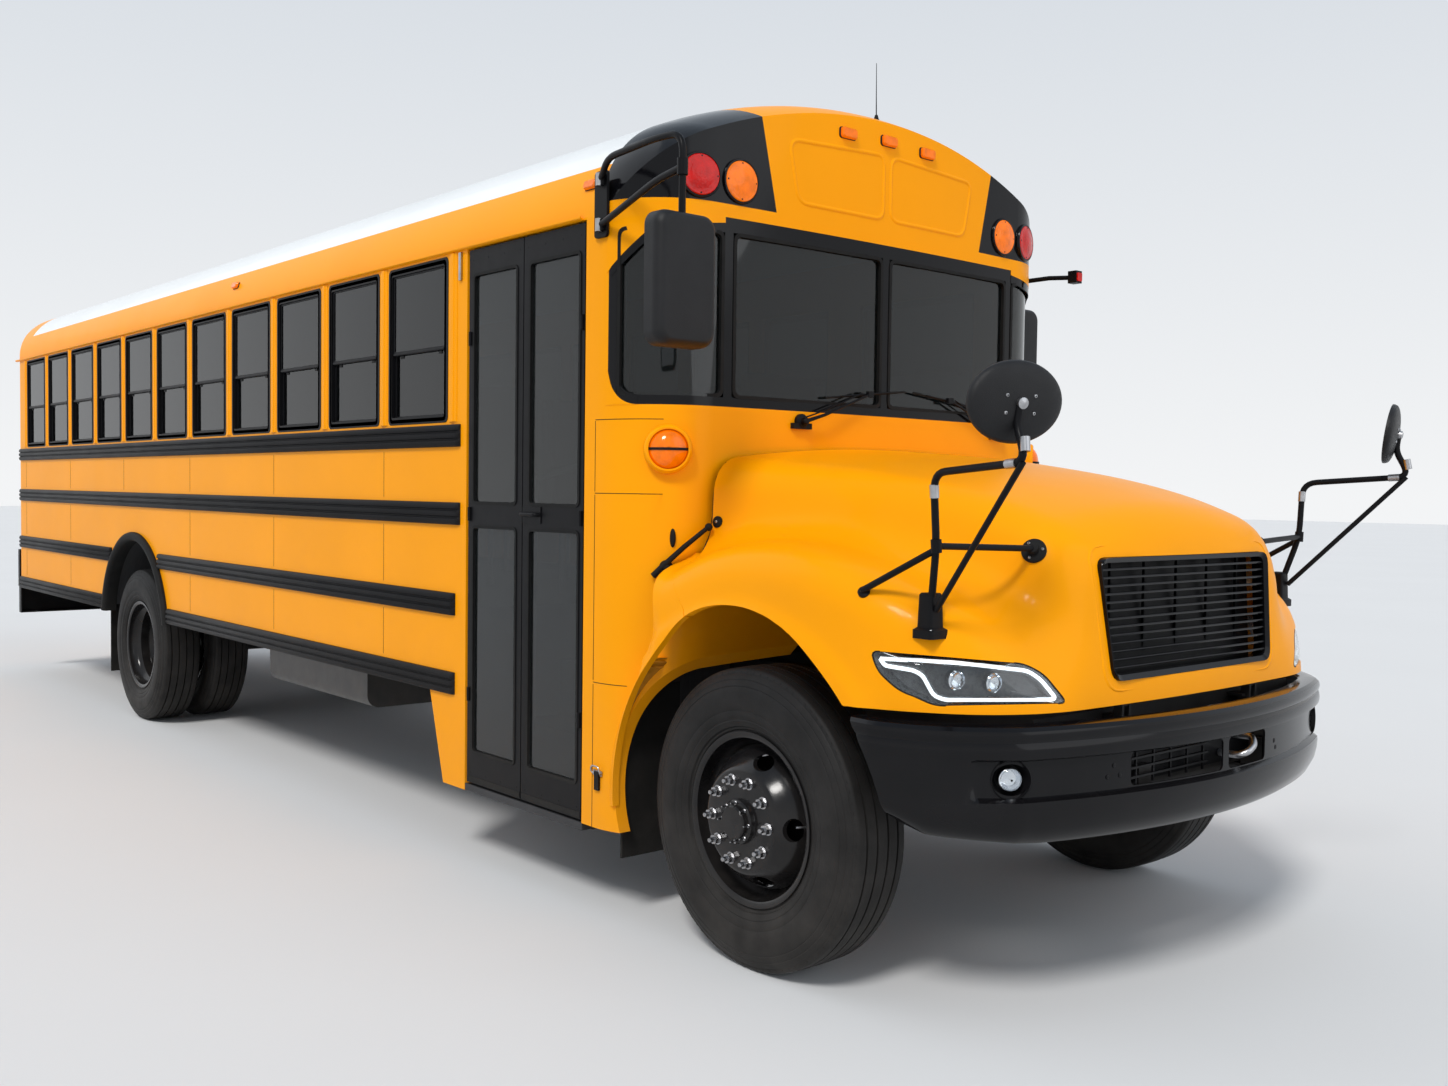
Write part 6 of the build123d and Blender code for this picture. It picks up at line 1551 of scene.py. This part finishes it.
# Hood mirrors on bent stays, by places in the photograph
wall_px, stay_px, foot_px = (1034, 551), (864, 592), (930, 634)
s = Shape(black, plastic, mirror_glass, steel, rubber)
for side in (-1, 1):
    foot = Vector((fax + 0.805, side * 1.100, 1.235))
    bend_p = Vector((fax + 0.805, side * 1.140, 1.717))
    elbow = Vector((fax + 1.192, side * 1.215, 1.745))
    neck = Vector((fax + 1.165, side * 1.195, 1.905))
    mid = Vector((fax + 0.805, side * 1.122, 1.500))
    wall_p, wall_n = on(hood_tree, *wall_px, side)
    stay_p, stay_n = on(hood_tree, *stay_px, side)
    foot_p, foot_n = on(hood_tree, *foot_px, side)
    s.tube([foot_p + Vector((0, 0, 0.06)), mid, bend_p, elbow, neck + Vector((-0.02, 0, -0.06)),
            neck + Vector((-0.012, 0, 0.0))], 0.0115, 14, 0, bend=0.055)
    s.tube([foot_p + Vector((0.03, side * 0.008, 0.075)), elbow * 0.97 + bend_p * 0.03], 0.0095, 12, 0)
    s.tube([mid, wall_p + wall_n * 0.02], 0.0105, 12, 0)
    s.tube([mid + Vector((0, 0, -0.01)), stay_p + stay_n * 0.012], 0.0105, 12, 0)
    s.rod(mid, bend_p - foot, 0.0165, 0.020, 16, 0)
    for at, way in ((mid.lerp(bend_p, 0.75), bend_p - foot), (bend_p.lerp(elbow, 0.86), elbow - bend_p),
                    (elbow.lerp(neck, 0.3), neck - elbow)):
        s.rod(at, way, 0.014, 0.020, 16, 3)
    # Shoe on the fender
    base = foot_p - foot_n * 0.004
    sec = rrect(-1, 1, -1, 1, 0.3)
    rows = [[base + Vector((a * gx, b * gy, h)) for a, b in sec]
            for h, gx, gy in ((-0.012, 0.040, 0.042), (0.014, 0.040, 0.042), (0.022, 0.030, 0.030),
                              (0.120, 0.027, 0.027), (0.126, 0.022, 0.022))]
    s.grid(rows, 0, close_v=True)
    s.add(rows[-1], [tuple(range(len(sec)))], 0)
    for a, b in ((-1, -1), (1, -1), (1, 1), (-1, 1)):
        s.stud(base + Vector((a * 0.031, b * 0.033, 0.014)), (0, 0, 1), 0.006, 0.004, seg=10, mat=3)
    s.lathe([(0.040, -0.004), (0.040, 0.006), (0.036, 0.009), (0.018, 0.010), (0.016, 0.030), (0.0001, 0.032),
             (0.0001, -0.004)], wall_p, wall_n, 28, 4)
    wall_u = wall_n.orthogonal().normalized()
    wall_w = wall_n.cross(wall_u)
    for k in range(3):
        a = 0.5 + 2 * math.pi * k / 3
        around = (wall_u * math.cos(a) + wall_w * math.sin(a)) * 0.028
        s.stud(wall_p + wall_n * 0.009 + around, wall_n, 0.0055, 0.004, seg=10, mat=3)
    s.lathe([(0.020, -0.003), (0.020, 0.004), (0.011, 0.008), (0.009, 0.016), (0.0001, 0.017), (0.0001, -0.003)],
            stay_p, stay_n, 20, 0)
    # Oval head: a shallow bowl whose back faces forward
    face_n = Vector((1, side * 0.35, -0.15)).normalized()
    across_way = Vector((-side * 0.35, 1, 0))
    yy = (across_way - face_n * across_way.dot(face_n)).normalized()
    zz = face_n.cross(yy)
    c = neck - face_n * 0.008

    def head_line(back, wide, tall):
        """The head's outline, set back along its axis."""
        return [c - face_n * back + yy * wide * math.cos(t) + zz * tall * math.sin(t) for t in turns(56)]

    bowl = []
    for k in range(9):
        a = math.pi / 2 * k / 8
        bowl.append(head_line(0.030 - 0.028 * math.sin(a), 0.150 * math.cos(a * 0.999), 0.114 * math.cos(a * 0.999)))
    lip = [head_line(back, wide, tall) for back, wide, tall in ((0.041, 0.142, 0.107), (0.043, 0.147, 0.111),
                                                           (0.041, 0.1515, 0.1155), (0.034, 0.1515, 0.1155))]
    s.grid(lip + bowl, 1, close_v=True)
    bulge = [head_line(0.041 + 0.010 * (1 - q * q), 0.143 * q, 0.108 * q)
             for q in (1.0, 0.85, 0.68, 0.5, 0.3, 0.12, 0.001)]
    s.grid(bulge, 2, close_v=True)
    s.lathe([(0.016, -0.010), (0.016, 0.008), (0.008, 0.012), (0.0001, 0.012), (0.0001, -0.010)],
            c + face_n * 0.001, face_n, 16, 3)
    for a, b in ((-0.045, 0.02), (0.045, 0.02), (-0.045, -0.028), (0.045, -0.028)):
        s.stud(c - face_n * 0.0045 + yy * a + zz * b, face_n, 0.006, 0.004, seg=10, mat=3, back=0.004)
s.obj("fender_mirrors", "hood_assembly", 38, replaces=("hood_mirrors",), slot="black_trim")

# Entrance: two leaves with large panes, rubber beads, hinges and a pull bar
leaf_mid = (door_x + pillar_x) / 2
for name, x0, x1, hinge, body in (("rear", door_x + 0.013, leaf_mid - 0.003, 1, "door_rear"),
                                  ("front", leaf_mid + 0.003, pillar_x - 0.013, -1, "door_front")):
    s = Shape(black, rubber, steel, black)
    g = Shape(door_glass_mat)
    y = -half + 0.004
    foot_z, head_z, belt_z = 0.360, 2.682, 1.537
    a0, a1 = (x0 + 0.040, x1 - 0.046) if hinge > 0 else (x0 + 0.046, x1 - 0.030)
    for lo, hi in ((0.498, 1.486), (1.588, 2.574)):
        pane = rrect(a0, a1, lo, hi, 0.020)
        frame_lo, frame_hi = (foot_z, belt_z) if hi < belt_z else (belt_z, head_z)
        outside = [(x0 if a < (a0 + a1) / 2 else x1, frame_lo if b < (lo + hi) / 2 else frame_hi) for a, b in pane]
        ring_rows = [[(a, y + depth, b) for a, b in line]
                     for line, depth in ((outside, 0), (pane, 0), (pane, 0.032), (outside, 0.032))]
        s.grid(ring_rows, 0, close_u=True, close_v=True)
        bead_out, bead_in = ([(a, y - 0.0035, b) for a, b in rrect(a0 + d, a1 - d, lo + d, hi - d, r)]
                             for d, r in ((-0.006, 0.026), (0.007, 0.014)))
        s.ring(bead_out, bead_in, (0, 0.020, 0), 1)
        front = [(a, y + 0.0135, b) for a, b in rrect(a0 + 0.003, a1 - 0.003, lo + 0.003, hi - 0.003, 0.017)]
        g.prism([(a, y + 0.0085, b) for a, _, b in front], front, 0)
    edge = x1 if hinge > 0 else x0
    s.tube([(edge, y + 0.010, foot_z + 0.01), (edge, y + 0.010, head_z - 0.01)], 0.0026, 10, 1)
    hinge_at = x0 + 0.016 if hinge > 0 else x1 - 0.013
    for z in (0.75, 1.54, 2.30):
        s.rod((hinge_at, y - 0.004, z), (0, 0, 1), 0.008, 0.03, 10, 3)
    s.box(x0 + 0.004, x1 - 0.004, y - 0.0015, y + 0.002, foot_z + 0.006, foot_z + 0.030, 1)
    for z in (foot_z + 0.045, head_z - 0.045):
        for a in np.linspace(x0 + 0.03, x1 - 0.03, 4):
            s.stud((float(a), y, z), (0, -1, 0), 0.004, 0.0016, back=0.001)
    if hinge < 0:
        s.box(x0 + 0.004, x0 + 0.140, y - 0.004, y + 0.002, 1.512, 1.580, 3)
        s.tube([(x0 + 0.012, y - 0.002, 1.548), (x0 + 0.016, y - 0.022, 1.548), (x0 + 0.122, y - 0.022, 1.548),
                (x0 + 0.128, y - 0.002, 1.548)], 0.0085, 12, 3, bend=0.010)
    s.obj(f"door_frame_{name}", body, 35, bevel=0.0012, segments=1, replaces=(f"door_leaf_{name}",), slot="black_trim")
    g.obj(f"door_panes_{name}", body, 30, replaces=(f"door_glass_{name}",), slot="tinted_glass")
s = Shape(steel)
rail_x = door_x + 0.130
s.tube([(rail_x, -0.950, 0.560), (rail_x, -0.950, 1.700), (rail_x, -0.700, 1.760)], 0.016, 14, 0, bend=0.06)
s.tube([(pillar_x - 0.090, -1.060, 1.000), (pillar_x - 0.300, -1.020, 1.560), (pillar_x - 0.420, -0.960, 1.740)],
       0.014, 12, 0, bend=0.06)
s.obj("entrance_rails", "bus", 40, slot="black_trim")

# Corner pieces and brackets at the rear, and the shield behind the bumper
s = Shape(black, steel, chassis)
for side in (-1, 1):
    y0, y1 = sorted((side * (half - 0.020), side * (half + 0.0015)))
    s.box(wall_x - 0.002, wall_x + 0.050, y0, y1, 0.735, 1.060, 0)
    s.box(wall_x - 0.002, wall_x + 0.050, y0, y1, 0.735, 0.742, 1)
s.box(fax + 0.925, fax + 0.931, -0.800, 0.800, 0.600, 0.965, 2)
s.box(door_x - 0.060, door_x - 0.040, -half - 0.001, -half - 0.012, 2.560, 2.682, 1)
s.obj("corner_guards", "bus", 40, bevel=0.002, segments=1, slot="black_trim")

# Antenna
s = Shape(black, rubber)
ax, ay = face_x - 0.090, 0.020
s.lathe([(0.014, -0.02), (0.014, 0.004), (0.010, 0.012), (0.006, 0.026), (0.0001, 0.028), (0.0001, -0.02)],
        (ax, ay, 3.226), (0, 0, 1), 16, 1)
s.tube([(ax, ay, 3.24), (ax - 0.002, ay, 3.33), (ax - 0.004, ay, 3.4695)], lambda t: 0.0026 - 0.0014 * t, 8, 0)
s.obj("whip_antenna", "bus", 40, replaces=("antenna",), slot="black_trim")

# Stop arm
s = Shape(sign_mat, sign_white, black, red_lens)
pin_x, pin_y, pin_z = door_x + 0.033, half + 0.034, 1.700
cx, y0 = pin_x - 0.245 - 0.016, half + 0.028
octo = [(math.cos(t + math.pi / 8), math.sin(t + math.pi / 8)) for t in turns(8)]
for r, near, far, mat in ((0.2448, 0.0005, 0.0085, 1), (0.226, 0.0003, 0.0105, 0)):
    s.prism(*([(cx + r * a, y0 + d, pin_z + r * b) for a, b in octo] for d in (near, far)), mat)
for dz in (-0.165, 0.165):
    s.lathe([(0.045, -0.004), (0.045, 0.006), (0.041, 0.008), (0.0001, 0.008), (0.0001, -0.004)],
            (cx, y0 + 0.006, pin_z + dz), (0, 1, 0), 28, 2)
    s.dome((cx, y0 + 0.010, pin_z + dz), (0, 1, 0), 0.038, 0.0015, seg=28, mat=3, back=0.002)
s.box(pin_x - 0.060, pin_x, y0, y0 + 0.0115, pin_z - 0.050, pin_z + 0.050, 2)
s.lathe([(0.0118, -0.050), (0.0118, 0.050), (0.0062, 0.050), (0.0062, -0.050)], (pin_x, pin_y, pin_z), (0, 0, 1), 20, 2)
s.obj("stop_sign_board", "stop_sign", 35, bevel=0.001, segments=1, replaces=("stop_arm",), slot="sign_red")

# Seats
first_row, row_pitch, row_count = door_x - 0.480, 0.700, 10
cush_z = floor_z + 0.440


def pad(name, corners, thick, crown=0.012):
    """A padded slab: four corners of its front face, pulled in at its seams."""
    a, b, c, d = (Vector(p) for p in corners)
    nrm = (b - a).cross(d - a).normalized()
    shares = [0.5 - 0.5 * math.cos(math.pi * i / 10) for i in range(11)]
    top, bottom = [], []
    for u in shares:
        top.append([])
        bottom.append([])
        for v in shares:
            p = a * (1 - u) * (1 - v) + b * u * (1 - v) + c * u * v + d * (1 - u) * v
            e = (math.sin(math.pi * u) * math.sin(math.pi * v)) ** 0.35
            top[-1].append(p + nrm * (-crown + crown * e))
            bottom[-1].append(p - nrm * (thick - crown + crown * e))
    cover = Shape(vinyl)
    cover.slab(top, bottom)
    o = cover.obj(name, "bus", 60, replaces=("seats",) if name == "bench_cushion_0_right" else (), slot="seat_vinyl")
    bv = o.modifiers.new("round", "BEVEL")
    bv.width, bv.segments, bv.limit_method, bv.angle_limit = 0.016, 3, "ANGLE", math.radians(50)


def cushion(name, x0, x1, y0, y1, thick, crown):
    """A level pad at seat height."""
    pad(name, [(x0, y0, cush_z), (x1, y0, cush_z), (x1, y1, cush_z), (x0, y1, cush_z)], thick, crown)


def backrest(name, x, lean, y0, y1, low, high, thick, crown):
    """A pad leaning back from its foot, which is at x; heights are from the cushion."""
    low, high = cush_z + low, cush_z + high
    pad(name, [(x, y1, low), (x, y0, low), (x - lean, y0, high), (x - lean, y1, high)], thick, crown)


s = Shape(black)
for row in range(row_count):
    x = first_row - row * row_pitch
    for out, name in SIDES:
        y0, y1 = sorted((out * (half - 0.047), out * (half - 0.963)))
        cushion(f"bench_cushion_{row}_{name}", x - 0.388, x - 0.002, y0, y1, 0.106, 0.012)
        backrest(f"bench_back_{row}_{name}", x - 0.391, 0.080 / 0.73 * 0.722, y0, y1, -0.105, 0.617, 0.078, 0.010)
        leg = out * (half - 0.873)
        for leg_x in (x - 0.34, x - 0.07):
            s.tube([(leg_x, leg, floor_z + 0.004), (leg_x, leg, cush_z - 0.10)], 0.0145, 10, 0)
            s.lathe([(0.030, 0), (0.030, 0.006), (0.0001, 0.007), (0.0001, 0)], (leg_x, leg, floor_z + 0.0005),
                    (0, 0, 1), 14, 0)
        s.tube([(x - 0.34, leg, cush_z - 0.112), (x - 0.07, leg, cush_z - 0.112)], 0.0125, 10, 0)
x = pillar_x - 0.420
cushion("driver_cushion", x - 0.428, x - 0.002, 0.382, 0.858, 0.116, 0.018)
backrest("driver_back", x - 0.431, 0.090, 0.382, 0.858, -0.118, 0.697, 0.095, 0.016)
s.lathe([(0.088, 0.0), (0.090, 0.01), (0.090, 0.03), (0.060, 0.05), (0.055, 0.30), (0.085, 0.318), (0.0001, 0.318),
         (0.0001, 0)], (x - 0.230, 0.620, floor_z + 0.001), (0, 0, 1), 28, 0)
s.obj("bench_legs", "bus", 35, slot="black_trim")

lo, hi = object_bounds()
{"cad": [list(cad_box[0]), list(cad_box[1])], "visual": [list(lo), list(hi)]}
